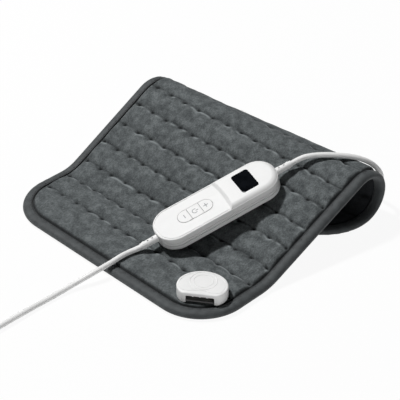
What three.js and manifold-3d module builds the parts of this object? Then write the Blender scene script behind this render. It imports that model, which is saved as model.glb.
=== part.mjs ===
// Heating pad with a corded hand controller. The pad lies flat at its near edge, ramps up and rolls under
// at its far end. The controller rests on the ramp, and its two cords run off over the pad's two ends.
// Millimetres: X across the pad, Y from the near edge towards the roll, Z up from the table.

import * as THREE from 'three';
import { mergeVertices } from 'three/addons/utils/BufferGeometryUtils.js';
import Module from 'manifold-3d';

const wasm = await Module();
wasm.setup();

// Clearances
const fitGap = 0.3; // between pieces that touch
const screwPlay = 0.3; // round a screw or a lead in its hole
const buttonPlay = 0.3; // round a button in the panel

// Pad, as it is cut and sewn flat
const padWidth = 300;
const padLength = 400;
const padCorner = 54;
const bottomCover = 2.4; // thickness of the lower cover
const carrierFelt = 0.8;
const wireDiameter = 1.8;
const wireLift = 0.06; // keeps the wire's turns off the carrier where the pad twists
const topCover = 2.3; // thickness of the upper cover along a stitch line
const crownRise = 2.6; // how far a channel swells above its stitch lines
const stitchSink = 0.9; // how far a stitch line draws in the lower cover
const stitchPull = 5.2; // width each side of a stitch line that it draws down
const firstStitch = 53; // from the near edge to the first stitch line
const stitchPitch = 29;
const stitchCount = 11;
const edgeStack = 5.2; // both covers pressed together inside the binding
const bindingWidth = 10;
const bindingWall = 0.9;
const bindingRound = 1.8;
const bindingFold = 2.2; // solid fold of the binding outside the covers' edge
const bindingSeam = 1; // bare cover beside the binding's edge
const coverRun = 6; // from there to where the covers have their full thickness
const crownRun = 11; // and to where the channels have their full height
const carrierInset = 30;
const wireInset = 44; // from the pad's side to the wire's turns
const wireReturnInset = 34; // from the pad's side to the wire's return run

// Pad, as it lies: each long edge is flat, bends up, ramps and rolls under
const rightFlat = 85;
const rightBend = 62;
const rightSlope = 22;
const rightUpperRoll = 28;
const rightLowerRoll = 27;
const leftFlat = 82;
const leftBend = 49;
const leftSlope = 27.3;
const leftUpperRoll = 30.5;
const leftLowerRoll = 28;

// Pad socket
const socketFromSide = 27.8; // middle of the slot's mouth, from the pad's right edge
const socketIn = 25.8; // and from the near edge
const socketTurn = 34.7;
const socketWidth = 51;
const socketDepth = 37;
const socketShoulder = 15;
const socketHeight = 12;
const socketWall = 1.8;
const socketRound = 3; // height of the roof's rounded rim
const socketSink = 2.2; // depth that the socket sits down into the plush
const socketFabric = 1; // cover left between the socket and its clamp plate
const slotWidth = 28.4;
const slotHeight = 6.4;
const slotDepth = 14;
const keyCount = 3;
const keyPitch = 7;
const keyWidth = 1.8;
const keyHeight = 1;
const innerRing = 12; // radii of the raised rings
const outerRing = 16;
const ringWidth = 1.2;
const ringRise = 0.4;
const ringRoot = 0.5; // depth that a ring reaches down into the roof
const baseThick = 1.8;
const clampThick = 1.1;
const socketScrew = 2.6;
const socketScrewHead = 1.6;
const socketScrewSpan = 34;
const contactCount = 4;
const contactPitch = 5.6;
const contactSize = 1.6;
const contactReach = 9;
const contactBlock = { width: 26, depth: 7, height: 6.6 };
const leadDiameter = 1.2;
const leadSpan = 6;
const leadGap = 0.9; // from the thermal fuse to the middle of the leads
const thermalFuse = { diameter: 4, length: 12 };

// Controller
const caseLength = 141;
const caseWidth = 46;
const caseCorner = 21;
const splitHeight = 7;
const panelHeight = 17;
const displayHeight = 20.4;
const caseWall = 2;
const footRound = 3;
const panelRound = 1.2;
const displayRound = 6.5;
const displayEndLength = 63.5; // raised display end, from its step to the end of the case
const stepBow = 2;
const controllerAcross = 50.4;
const controllerIn = 126;
const controllerYaw = 71;
const controllerPitch = 16.4;
const controllerRoll = 5.4;
const buttonsPlace = -24; // middle of the buttons, from the middle of the case
const buttonsLength = 39.5;
const buttonsWidth = 16;
const buttonsMiddle = 13.6; // length of the power button between the other two
const buttonProud = 0.4;
const buttonTravel = 0.7;
const buttonFlange = 1.2;
const windowFromEnd = 34.6; // middle of the window, from the display end of the case
const windowLength = 19.1;
const windowWidth = 27.5;
const windowCorner = 2.4;
const windowThick = 1.1;
const windowLip = 1.5;
const displayModule = { length: 23, width: 31, height: 3 };
const boardEndGap = 6.5; // between the board and the case, at its ends
const boardSideGap = 2; // and at its sides
const boardThick = 1.6;
const boardHeight = 6;
const postFromEnd = 16.5; // case screws, from the ends of the case
const postFromSide = 11.5; // and from its sides
const postDiameter = 6.4;
const caseScrew = 2.6;
const caseScrewHead = { diameter: 4.6, height: 1.6 };
const switchBody = { side: 6, height: 3.2, plunger: 3.4 };
const relay = { fromEnd: 57.5, aside: -8, length: 15, width: 12, height: 6.6 };
const capacitor = { fromEnd: 57.5, aside: 9.5, length: 13, width: 6, height: 6.4 };
const fuse = { fromEnd: 36.5, diameter: 5.2, length: 20 };
const terminal = { length: 8, width: 13, height: 4.8 };

// Strain reliefs of the controller
const reliefHeight = 9.2;
const reliefNeck = 8;
const reliefEnd = 6.8;
const reliefReach = 19.5;
const reliefFlange = { diameter: 10.4, thick: 1.7 };
const reliefCollar = { diameter: 8, thick: 2.2, fromEnd: 3.2 };
const flexHole = { diameter: 2, depth: 1.4, first: 5, pitch: 5.5 };
const tipRound = 0.4; // rounded tips of the strain reliefs

// Cords
const cordDiameter = 5.5;
const cordLead = 7.7; // straight start of a cord beyond its relief
const cordSides = 8;
const coilGap = 0.5; // between neighbouring turns
const coilTurns = 6.25;
const coilMiddle = 33; // radius at the middle of the turns
const coilTail = 14; // straight end that leads into the plug
const loopSteps = 24;
const loopSides = 6;
const tieThick = 0.8;
const tieWidth = 4;
const tieTurn = 200;

// Mains plug
const plugLength = 36;
const plugWidth = 26;
const plugThick = 13.7;
const plugRear = { width: 13, thick: 10.5 };
const plugPin = { diameter: 4, length: 19, span: 18.6, tip: 1 };
const plugRelief = { length: 22, start: 8.6, end: 6.6 };

// Plug that fits the pad socket
const padPlugLength = 30;
const padPlugWidth = 33;
const padPlugThick = 12;
const padPlugRear = { width: 18, thick: 9.5 };
const tongueReach = 12;
const tonguePlay = 0.3;

const degrees = THREE.MathUtils.degToRad;

// Finishes
const finish = (color, roughness, metalness = 0) => (
  new THREE.MeshStandardMaterial({ color, roughness, metalness })
);
const plush = 0x5c5f61;
const weave = 0x505355;
const whitePlastic = 0xf2f2f0;
const blackGloss = 0x0b0c0e;
const brass = 0xc8a85a;
const steel = 0xb4b6b8;

// Solid modelling

/** A closed geometry as a solid that can be joined and cut. */
function solid(geometry) {
  const bare = geometry.clone();
  bare.deleteAttribute('normal');
  bare.deleteAttribute('uv');
  const merged = mergeVertices(bare, 1e-4);
  const mesh = new wasm.Mesh({
    numProp: 3,
    vertProperties: new Float32Array(merged.attributes.position.array),
    triVerts: new Uint32Array(merged.index.array),
  });
  return new wasm.Manifold(mesh);
}

/** The geometry of a joined or cut solid. */
function geometryOf(body) {
  const mesh = body.getMesh();
  const geometry = new THREE.BufferGeometry();
  geometry.setAttribute('position', new THREE.BufferAttribute(new Float32Array(mesh.vertProperties), 3));
  geometry.setIndex(new THREE.BufferAttribute(new Uint32Array(mesh.triVerts), 1));
  geometry.computeVertexNormals();
  return geometry;
}

/** Turns the faces of a closed indexed geometry outwards. */
function faceOut(geometry) {
  const place = geometry.attributes.position;
  const index = geometry.index.array;
  const [a, b, c] = [new THREE.Vector3(), new THREE.Vector3(), new THREE.Vector3()];
  let volume = 0;
  for (let i = 0; i < index.length; i += 3) {
    a.fromBufferAttribute(place, index[i]);
    b.fromBufferAttribute(place, index[i + 1]);
    c.fromBufferAttribute(place, index[i + 2]);
    volume += a.dot(b.cross(c));
  }
  if (volume < 0) {
    for (let i = 0; i < index.length; i += 3) {
      [index[i + 1], index[i + 2]] = [index[i + 2], index[i + 1]];
    }
  }
  geometry.computeVertexNormals();
  return geometry;
}

/** A skin through rings of equal point count, capped at both ends or joined round into a loop. */
function loft(rings, looped = false) {
  const count = rings[0].length;
  const index = [];
  const spans = looped ? rings.length : rings.length - 1;
  for (let r = 0; r < spans; r++) {
    const here = r * count;
    const next = ((r + 1) % rings.length) * count;
    for (let i = 0; i < count; i++) {
      const j = (i + 1) % count;
      index.push(here + i, here + j, next + j, here + i, next + j, next + i);
    }
  }
  if (!looped) {
    const top = (rings.length - 1) * count;
    for (let i = 1; i < count - 1; i++) {
      index.push(0, i + 1, i, top, top + i, top + i + 1);
    }
  }
  const geometry = new THREE.BufferGeometry().setFromPoints(rings.flat());
  geometry.setIndex(index);
  return faceOut(geometry);
}

/** A flat outline's points, at one height. */
function ringAt(shape, z, steps) {
  return shape.getPoints(steps).map((p) => new THREE.Vector3(p.x, p.y, z));
}

/** A rounded rectangle about the origin, with its length along X. */
function roundedRectangle(length, width, radius) {
  const shape = new THREE.Shape();
  const [a, b] = [length / 2 - radius, width / 2 - radius];
  shape.absarc(a, -b, radius, -Math.PI / 2, 0);
  shape.absarc(a, b, radius, 0, Math.PI / 2);
  shape.absarc(-a, b, radius, Math.PI / 2, Math.PI);
  shape.absarc(-a, -b, radius, Math.PI, 1.5 * Math.PI);
  return shape;
}

/** A straight prism of a flat outline between two heights. */
function prism(shape, low, high, steps = 5) {
  const options = { depth: high - low, bevelEnabled: false, curveSegments: steps };
  return new THREE.ExtrudeGeometry(shape, options).translate(0, 0, low);
}

/** A box given by its middle in plan, its size in plan and its two heights. */
function block(x, y, length, width, low, high) {
  return new THREE.BoxGeometry(length, width, high - low).translate(x, y, (low + high) / 2);
}

/** An upright cylinder between two heights. */
function post(x, y, diameter, low, high, sides = 12) {
  const geometry = new THREE.CylinderGeometry(diameter / 2, diameter / 2, high - low, sides);
  return geometry.rotateX(Math.PI / 2).translate(x, y, (low + high) / 2);
}

/** A turned solid about the X axis, from its radius at places along X. */
function turned(profile, sides = 14) {
  const points = profile.map(([along, radius]) => new THREE.Vector2(radius, along));
  points.unshift(new THREE.Vector2(0, points[0].y));
  points.push(new THREE.Vector2(0, points[points.length - 1].y));
  return new THREE.LatheGeometry(points, sides).rotateZ(-Math.PI / 2);
}

/** A cylinder lying along X about the origin. */
function rod(diameter, length, sides = 12) {
  return new THREE.CylinderGeometry(diameter / 2, diameter / 2, length, sides).rotateZ(Math.PI / 2);
}

/** A revolved geometry with its seam merged. */
function mergedClosed(geometry) {
  geometry.deleteAttribute('normal');
  geometry.deleteAttribute('uv');
  return mergeVertices(geometry, 1e-4);
}

/** Joins or cuts a list of geometries into a first one. */
const joined = (first, ...rest) => rest.reduce((body, next) => body.add(solid(next)), first);
const cut = (first, ...rest) => rest.reduce((body, next) => body.subtract(solid(next)), first);

const pad = new THREE.Group();
const socket = new THREE.Group();
const controller = new THREE.Group();
const cords = new THREE.Group();

/** Adds a named piece to its group. */
function piece(group, name, geometry, color, roughness, metalness) {
  const mesh = new THREE.Mesh(geometry, finish(color, roughness, metalness));
  mesh.name = name;
  group.add(mesh);
  return mesh;
}

// Heights of the pad's layers above its underside

const carrierBase = bottomCover + fitGap;
const wireAxis = carrierBase + carrierFelt + fitGap + wireDiameter / 2;
const topInner = wireAxis + wireDiameter / 2 + fitGap;
const valleyTop = topInner + topCover;
const crownTop = valleyTop + crownRise;
const core = valleyTop / 2; // the pad's length is measured along this height
const edgeLow = core - edgeStack / 2;
const edgeHigh = core + edgeStack / 2;

// The pad's surface: a place across, a place along and a height give a point in space

/** The flat, bend, ramp and roll of one long edge, as runs along its core line. */
function layOut({ flat, bend, slope, upperRoll, lowerRoll }) {
  const angle = degrees(slope);
  const tailCore = crownTop - core;
  const climb = upperRoll * Math.cos(angle) + lowerRoll - bend * (1 - Math.cos(angle)) + tailCore - core;
  const runs = [
    { length: flat, turn: 0 },
    { length: bend * angle, turn: angle },
    { length: climb / Math.sin(angle), turn: 0 },
    { length: upperRoll * (angle + Math.PI / 2), turn: -angle - Math.PI / 2 },
    { length: lowerRoll * (Math.PI / 2), turn: -Math.PI / 2 },
    { length: padLength, turn: 0 },
  ];
  let from = { start: 0, y: 0, z: core, heading: 0 };
  for (const run of runs) {
    Object.assign(run, from);
    const end = follow(run, run.length);
    from = { start: run.start + run.length, ...end };
  }
  return runs;
}

/** The point and heading a distance along one run. */
function follow({ y, z, heading, length, turn }, distance) {
  if (turn === 0) {
    return { y: y + distance * Math.cos(heading), z: z + distance * Math.sin(heading), heading };
  }
  const bend = turn / length;
  const reached = heading + bend * distance;
  return {
    y: y + (Math.sin(reached) - Math.sin(heading)) / bend,
    z: z - (Math.cos(reached) - Math.cos(heading)) / bend,
    heading: reached,
  };
}

const rightRuns = layOut({
  flat: rightFlat, bend: rightBend, slope: rightSlope, upperRoll: rightUpperRoll, lowerRoll: rightLowerRoll,
});
const leftRuns = layOut({
  flat: leftFlat, bend: leftBend, slope: leftSlope, upperRoll: leftUpperRoll, lowerRoll: leftLowerRoll,
});

/** The core line of one edge at a distance along it. */
function alongEdge(runs, s) {
  const run = runs.findLast((r) => s >= r.start) ?? runs[0];
  return follow(run, s - run.start);
}

/** A point of the pad: x across, s along the cloth from the near edge, h above the underside. */
function padPoint(x, s, h) {
  const right = alongEdge(rightRuns, s);
  const left = alongEdge(leftRuns, s);
  const share = x / padWidth + 0.5;
  const mix = (key) => THREE.MathUtils.lerp(left[key], right[key], share);
  const heading = mix('heading');
  const off = h - core;
  return new THREE.Vector3(x, mix('y') - Math.sin(heading) * off, mix('z') + Math.cos(heading) * off);
}

/** Distance from the pad's cut outline, inwards. */
function edgeDistance(x, s) {
  const qx = Math.abs(x) - (padWidth / 2 - padCorner);
  const qs = Math.abs(s - padLength / 2) - (padLength / 2 - padCorner);
  const outside = Math.hypot(Math.max(qx, 0), Math.max(qs, 0));
  return padCorner - outside - Math.min(Math.max(qx, qs), 0);
}

/** Half the pad's width at a place along it, for an outline drawn in by an inset. */
function halfWidth(s, inset) {
  const radius = padCorner - inset;
  const fromEnd = THREE.MathUtils.clamp(Math.min(s, padLength - s) - inset, 0, radius);
  const missing = radius - fromEnd;
  return padWidth / 2 - padCorner + Math.sqrt(radius * radius - missing * missing);
}

const stitchLines = Array.from({ length: stitchCount }, (_, i) => firstStitch + i * stitchPitch);

/** How full a channel is at a place along the pad: 0 on a stitch line, 1 midway. */
function fullness(s) {
  const distance = Math.min(...stitchLines.map((line) => Math.abs(line - s)));
  const margin = s < firstStitch || s > stitchLines[stitchCount - 1];
  const share = Math.min(distance / (margin ? stitchPitch : stitchPitch / 2), 1);
  return Math.sin((share * Math.PI) / 2) ** 0.6;
}

/** 0 inside the binding, rising to 1 where the covers have their full thickness. */
const seamLine = bindingWidth + bindingSeam;
const openness = (inwards) => THREE.MathUtils.smoothstep(inwards, seamLine, seamLine + coverRun);
const crownShare = (inwards) => THREE.MathUtils.smoothstep(inwards, seamLine, seamLine + crownRun);

const topOutside = (inwards, s) => THREE.MathUtils.lerp(edgeHigh, valleyTop, openness(inwards))
  + crownRise * fullness(s) * crownShare(inwards);
const topInside = (inwards) => THREE.MathUtils.lerp(core + fitGap / 2, topInner, openness(inwards));
const bottomInside = (inwards) => THREE.MathUtils.lerp(core - fitGap / 2, bottomCover, openness(inwards));

/** The lower cover's outer face lies flat between the stitch lines that draw it in. */
function bottomOutside(inwards, s) {
  const distance = Math.min(...stitchLines.map((line) => Math.abs(line - s)));
  const groove = stitchSink * (1 - Math.min(distance / stitchPull, 1));
  return THREE.MathUtils.lerp(edgeLow, groove, openness(inwards));
}

/** Places along the pad where its layers have a row of points. */
const channelRows = stitchLines.flatMap((line, i) => {
  const midway = i < stitchCount - 1 ? [line + stitchPitch / 2] : [];
  return [line - stitchPull, line, line + stitchPull, ...midway];
});
const cornerRows = [0, 0.03, 0.12, 0.22, 0.37, 0.58, 0.81].map((share) => share * padCorner);
const rowGap = 0.8; // least distance between neighbouring rows
const columnStep = 0.4; // keeps columns apart where a corner draws them together
const lastChannel = stitchLines[stitchCount - 1] + stitchPull;
const rows = [
  ...cornerRows.filter((s) => s < firstStitch - stitchPull - rowGap),
  ...channelRows,
  ...cornerRows.map((s) => padLength - s).filter((s) => s > lastChannel + rowGap),
].sort((a, b) => a - b);

const innerColumn = padWidth / 5;

/** A slab between two grids of points, split along the same diagonals above and below. */
function slab(low, high) {
  const [count, width] = [low.length, low[0].length];
  const at = (row, column) => row * width + column;
  const upper = count * width;
  const index = [];
  const wall = (p, q) => index.push(p, q, q + upper, p, q + upper, p + upper);
  for (let r = 0; r < count - 1; r++) {
    for (let c = 0; c < width - 1; c++) {
      const [p, q, u, v] = [at(r, c), at(r, c + 1), at(r + 1, c + 1), at(r + 1, c)];
      index.push(upper + p, upper + q, upper + u, upper + p, upper + u, upper + v);
      index.push(p, u, q, p, v, u);
    }
    wall(at(r, width - 1), at(r + 1, width - 1));
    wall(at(r + 1, 0), at(r, 0));
  }
  for (let c = 0; c < width - 1; c++) {
    wall(at(0, c), at(0, c + 1));
    wall(at(count - 1, c + 1), at(count - 1, c));
  }
  const geometry = new THREE.BufferGeometry().setFromPoints([...low.flat(), ...high.flat()]);
  geometry.setIndex(index);
  return faceOut(geometry);
}

/** One layer of the pad, drawn in from its outline, between a lower and an upper height. */
function layer(inset, innerInsets, lower, upper) {
  const inner = rows.filter((s) => s > inset + rowGap && s < padLength - inset - rowGap);
  const grid = (height) => [inset, ...inner, padLength - inset].map((s) => {
    const right = [inset, ...innerInsets].map((drawnIn, i) => halfWidth(s, drawnIn) - i * columnStep);
    right.push(innerColumn);
    const columns = [...right.map((x) => -x), 0, ...right.reverse()];
    return columns.map((x) => padPoint(x, s, height(edgeDistance(x, s), s)));
  });
  return slab(grid(lower), grid(upper));
}

// Pad pieces

/** Where the leads come down from the socket into the pad. */
const socketAcross = padWidth / 2 - socketFromSide;
const contactRow = slotDepth + socketWall + contactBlock.depth / 2;
const fuseRow = contactRow + contactBlock.depth / 2 + fitGap + thermalFuse.diameter / 2;
const leadRow = fuseRow + thermalFuse.diameter / 2 + leadGap;
const leadAt = new THREE.Vector2(0, leadRow)
  .rotateAround(new THREE.Vector2(), degrees(socketTurn))
  .add(new THREE.Vector2(socketAcross, socketIn));

const coverInset = bindingFold + 2 * fitGap;
const coverColumns = [bindingWidth + bindingSeam / 2, bindingWidth + crownRun];

piece(pad, 'cover_bottom', layer(coverInset, coverColumns, bottomOutside, bottomInside), plush, 0.95);

const carrierLow = () => carrierBase;
const carrierHigh = () => carrierBase + carrierFelt;
piece(pad, 'wire_carrier', layer(carrierInset, [], carrierLow, carrierHigh), 0xd9d6cc, 0.9);

/** The heating wire's course: from the socket to and fro along the channels, then back down one side. */
function wireCourse() {
  const runs = stitchLines.slice(0, -1).map((line) => line + stitchPitch / 2);
  const reach = padWidth / 2 - wireInset;
  const bend = stitchPitch / 2;
  const course = [[leadAt.x - leadSpan, leadAt.y], [leadAt.x - 2 * bend, runs[0] - bend / 4], [0, runs[0]]];
  runs.slice(0, -1).forEach((s, i) => {
    const side = i % 2 === 0 ? -1 : 1;
    for (const step of [-bend, -stitchPull, 0, stitchPull, bend]) {
      course.push([side * (reach - bend + Math.sqrt(bend * bend - step * step)), s + bend + step]);
    }
    course.push([0, runs[i + 1]]);
  });
  const lastRun = runs[runs.length - 1];
  const side = padWidth / 2 - wireReturnInset;
  course.push([side - bend, lastRun]);
  course.push([side - bend / 4, lastRun - bend + stitchPull], [side, lastRun - bend]);
  const returning = rows.filter((s) => s < lastRun - bend - rowGap && s > runs[0]);
  course.push(...returning.reverse().map((s) => [side, s]));
  course.push([side - bend / 4, runs[0] - bend / 2], [leadAt.x + leadSpan, leadAt.y + leadSpan]);
  return course;
}

/** A tube laid on the pad's surface along a course of places across and along. */
function laidTube(course, diameter, height, sides) {
  const rings = course.map(([x, s], i) => {
    const [before, after] = [course[Math.max(i - 1, 0)], course[Math.min(i + 1, course.length - 1)]];
    const heading = new THREE.Vector2(after[0] - before[0], after[1] - before[1]).normalize();
    return Array.from({ length: sides }, (_, k) => {
      const angle = (2 * Math.PI * (k + 0.5)) / sides;
      const aside = (Math.cos(angle) * diameter) / 2;
      const rise = (Math.sin(angle) * diameter) / 2;
      return padPoint(x - heading.y * aside, s + heading.x * aside, height + rise);
    });
  });
  return loft(rings);
}

piece(pad, 'heating_wire', laidTube(wireCourse(), wireDiameter, wireAxis + wireLift, 6), 0xc9b38a, 0.6);

/** The outline's points, one beside each row of the covers, with the way inwards. */
function outlineStations() {
  const right = rows.map((s) => {
    const fromEnd = Math.min(s, padLength - s);
    const angle = fromEnd < padCorner ? Math.acos((padCorner - fromEnd) / padCorner) : Math.PI / 2;
    const along = Math.cos(angle) * (s < padLength / 2 ? 1 : -1);
    return { x: halfWidth(s, 0), s, across: -Math.sin(angle), along };
  });
  const left = right.map((p) => ({ ...p, x: -p.x, across: -p.across })).reverse();
  return [...right, ...left];
}

const bindingLow = edgeLow - fitGap;
const bindingHigh = edgeHigh + fitGap;
const bindingSection = [
  [bindingWidth, bindingHigh], [bindingFold, bindingHigh],
  [bindingFold, bindingLow], [bindingWidth, bindingLow],
  [bindingWidth, bindingLow - bindingWall], [bindingRound, bindingLow - bindingWall], [0, core],
  [bindingRound, bindingHigh + bindingWall], [bindingWidth, bindingHigh + bindingWall],
];
const bindingRings = outlineStations().map(({ x, s, across, along }) => (
  bindingSection.map(([inwards, h]) => padPoint(x + across * inwards, s + along * inwards, h))
));
piece(pad, 'edge_binding', loft(bindingRings, true), weave, 0.8);

// Pad socket, in its own frame: X along the slot, Y from the slot's mouth towards the domed back

const pocketFloor = crownTop - socketSink;
const fabricLow = pocketFloor - socketFabric;
const clampTop = fabricLow - fitGap;
const baseLow = pocketFloor + fitGap;
const baseTop = baseLow + baseThick;
const socketTop = baseLow + socketHeight;
const slotFloor = baseTop + fitGap;

/** The socket's shell-shaped outline, drawn in by an inset. */
function socketOutline(inset) {
  const half = socketWidth / 2 - inset;
  const front = slotWidth / 2 + socketWall - inset / 2;
  const shape = new THREE.Shape();
  shape.moveTo(half, socketShoulder);
  shape.absellipse(0, socketShoulder, half, socketDepth - socketShoulder - inset, 0, Math.PI);
  const flank = socketShoulder * 0.4;
  const flare = socketShoulder * 0.2;
  shape.bezierCurveTo(-half, flank, -front - flare, inset, -front, inset);
  shape.lineTo(front, inset);
  shape.bezierCurveTo(front + flare, inset, half, flank, half, socketShoulder);
  return shape;
}

/** A ring's points for the outline, with its closing point left out. */
const socketRing = (inset, z) => ringAt(socketOutline(inset), z, 8).slice(0, -1);

const rimSkin = [[0, 1], [0.27, 0.33], [0.87, 0.07], [1.67, 0]]; // inset and drop, as shares of the rim
const socketSkin = rimSkin.map(([inset, drop]) => (
  socketRing(inset * socketRound, socketTop - drop * socketRound)
));
const socketBody = solid(loft([socketRing(0, baseLow), ...socketSkin]));
const socketRoof = socketTop - socketWall;
const socketHollow = loft([socketRing(socketWall, baseLow - 1), socketRing(socketWall, socketRoof)]);
const slotMouth = block(0, 0, slotWidth, 4 * socketWall, baseLow - 1, slotFloor + slotHeight);

/** A raised ring on the socket's roof. */
function roofRing(radius) {
  const half = ringWidth / 2;
  const profile = [[-half, -ringRoot], [half, -ringRoot], [half / 2, ringRise], [-half / 2, ringRise]];
  const points = [...profile, profile[0]].map(([r, z]) => new THREE.Vector2(radius + r, z));
  const ring = new THREE.LatheGeometry(points, 28).rotateX(Math.PI / 2);
  return faceOut(mergedClosed(ring)).translate(0, socketDepth / 2 + 1, socketTop);
}

const keyPlaces = Array.from({ length: keyCount }, (_, i) => (i - (keyCount - 1) / 2) * keyPitch);
const slotRoof = slotFloor + slotHeight;
const keyReach = 2 * socketWall; // from the slot's mouth inwards
const keyLip = socketWall / 4;
const keys = keyPlaces.map((x) => (
  block(x, (keyReach + keyLip) / 2, keyWidth, keyReach - keyLip, slotRoof - keyHeight, socketRoof + keyLip)
));
const socketShell = joined(
  cut(socketBody, socketHollow, slotMouth),
  roofRing(innerRing), roofRing(outerRing), ...keys,
);
piece(socket, 'socket_shell', geometryOf(socketShell), whitePlastic, 0.4);

const screwPlaces = [-socketScrewSpan / 2, socketScrewSpan / 2].map((x) => [x, socketShoulder + socketWall]);
const leadPlaces = [-leadSpan / 2, leadSpan / 2].map((x) => [x, leadRow]);
const screwHoles = (low, high) => screwPlaces.map(([x, y]) => (
  post(x, y, socketScrew + 2 * screwPlay, low, high, 10)
));
const leadHoles = (low, high) => leadPlaces.map(([x, y]) => (
  post(x, y, leadDiameter + 2 * screwPlay, low, high, 8)
));

const basePlate = solid(loft([
  socketRing(socketWall + fitGap, baseLow), socketRing(socketWall + fitGap, baseTop),
]));
const baseCuts = [...screwHoles(baseLow - 1, baseTop + 1), ...leadHoles(baseLow - 1, baseTop + 1)];
piece(socket, 'socket_base', geometryOf(cut(basePlate, ...baseCuts)), whitePlastic, 0.5);

const clampLow = clampTop - clampThick;
const clampInset = 2 * socketWall;
const clampPlate = solid(loft([socketRing(clampInset, clampLow), socketRing(clampInset, clampTop)]));
const clampCuts = [...screwHoles(clampLow - 1, clampTop + 1), ...leadHoles(clampLow - 1, clampTop + 1)];
piece(socket, 'socket_clamp', geometryOf(cut(clampPlate, ...clampCuts)), steel, 0.4, 0.8);

screwPlaces.forEach(([x, y], i) => {
  const headLow = baseTop + fitGap;
  const screw = joined(
    solid(post(x, y, 2 * socketScrew, headLow, headLow + socketScrewHead)),
    post(x, y, socketScrew, clampLow, headLow + socketScrewHead / 2),
  );
  piece(socket, `socket_screw_${i + 1}`, geometryOf(screw), steel, 0.35, 0.9);
});

const contactPlaces = Array.from({ length: contactCount }, (_, i) => (
  (i - (contactCount - 1) / 2) * contactPitch
));
const contactHeight = slotFloor + slotHeight / 2;
const contactLength = contactBlock.depth + contactReach;

/** A square contact through its block, reaching towards the slot's mouth, grown by a play. */
function contactPin(x, play) {
  const y = contactRow - contactReach / 2;
  const size = contactSize + 2 * play;
  return block(x, y, size, contactLength + 4 * play, contactHeight - size / 2, contactHeight + size / 2);
}

const blockLow = baseTop + fitGap;
const blockHigh = blockLow + contactBlock.height;
const blockBox = block(0, contactRow, contactBlock.width, contactBlock.depth, blockLow, blockHigh);
const contactHoles = contactPlaces.map((x) => contactPin(x, screwPlay));
piece(socket, 'contact_block', geometryOf(cut(solid(blockBox), ...contactHoles)), 0x2b2c2e, 0.5);
contactPlaces.forEach((x, i) => {
  piece(socket, `contact_pin_${i + 1}`, contactPin(x, 0), brass, 0.3, 0.9);
});

const thermalBody = rod(thermalFuse.diameter, thermalFuse.length);
thermalBody.translate(0, fuseRow, baseTop + fitGap + thermalFuse.diameter / 2);
piece(socket, 'thermal_fuse', thermalBody, 0xd8d4c8, 0.5);

leadPlaces.forEach(([x, y], i) => {
  const lead = post(x, y, leadDiameter, wireAxis + wireDiameter / 2 + fitGap, baseTop, 8);
  piece(socket, `socket_lead_${i + 1}`, lead, 0xb03028, 0.6);
});

socket.position.set(socketAcross, socketIn, 0);
socket.rotation.z = degrees(socketTurn);
socket.updateMatrix();

// Upper cover, cut for the socket, its clamp plate, its screws and its leads

const inPlace = (geometry) => geometry.applyMatrix4(socket.matrix);
const pocket = loft([socketRing(-fitGap, pocketFloor), socketRing(-fitGap, socketTop)]);
const clampPocket = loft([socketRing(clampInset - fitGap, 0), socketRing(clampInset - fitGap, fabricLow)]);
const coverCuts = [pocket, clampPocket, ...screwHoles(0, socketTop), ...leadHoles(0, socketTop)].map(inPlace);
const coverTop = cut(solid(layer(coverInset, coverColumns, topInside, topOutside)), ...coverCuts);
piece(pad, 'cover_top', geometryOf(coverTop), plush, 0.95);

// Controller, in its own frame: X along the case towards the display, Z up from its underside

const caseEnd = caseLength / 2;
const stepPlace = caseEnd - displayEndLength;
const windowPlace = caseEnd - windowFromEnd;

const caseRing = (inset, z) => (
  ringAt(roundedRectangle(caseLength - 2 * inset, caseWidth - 2 * inset, caseCorner - inset), z, 4)
);

/** Rings of an edge rounded over at the top of a case wall. */
function roundOver(radius, top, inset = 0) {
  return [0, 0.25, 0.5, 0.75, 1].map((share) => {
    const angle = (share * Math.PI) / 2;
    return caseRing(inset + radius * (1 - Math.cos(angle)), top - radius * (1 - Math.sin(angle)));
  });
}

const caseSeam = fitGap / 2;
const reliefHole = () => rod(reliefNeck + 2 * fitGap, 1.2 * caseLength, 14).translate(0, 0, reliefHeight);
const postLength = caseEnd - postFromEnd;
const postWidth = caseWidth / 2 - postFromSide;
const postPlaces = [[-1, -1], [1, -1], [1, 1], [-1, 1]].map(([a, b]) => [a * postLength, b * postWidth]);
const boardTop = boardHeight + boardThick;

const footRings = [1, 0.62, 0.29, 0.08, 0].map((share, i) => {
  const lift = footRound * Math.sin((i / 4) * (Math.PI / 2)) ** 1.5;
  return caseRing(footRound * share, lift);
});
const bottomHollow = loft([caseRing(caseWall, caseWall), caseRing(caseWall, splitHeight + 1)]);
const bottomShell = cut(solid(loft([...footRings, caseRing(0, splitHeight - caseSeam)])), bottomHollow);
const bosses = postPlaces.map(([x, y]) => post(x, y, postDiameter, caseWall / 2, boardHeight - fitGap));
const bossHoles = postPlaces.flatMap(([x, y]) => [
  post(x, y, caseScrew + 2 * screwPlay, -1, splitHeight),
  post(x, y, caseScrewHead.diameter + 2 * screwPlay, -1, caseScrewHead.height + 2 * fitGap),
]);
const caseBottom = cut(joined(bottomShell, ...bosses), ...bossHoles, reliefHole());
piece(controller, 'case_bottom', geometryOf(caseBottom), whitePlastic, 0.35);

/** The part of the plan taken up by the raised display end, from its bowed step, set back by an inset. */
function displayEnd(inset) {
  const side = caseWidth;
  const from = stepPlace + inset;
  const shape = new THREE.Shape();
  shape.moveTo(from, -side / 2);
  shape.lineTo(caseLength, -side / 2);
  shape.lineTo(caseLength, side / 2);
  shape.lineTo(from, side / 2);
  shape.quadraticCurveTo(from + 2 * stepBow, 0, from, -side / 2);
  return shape;
}

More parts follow.
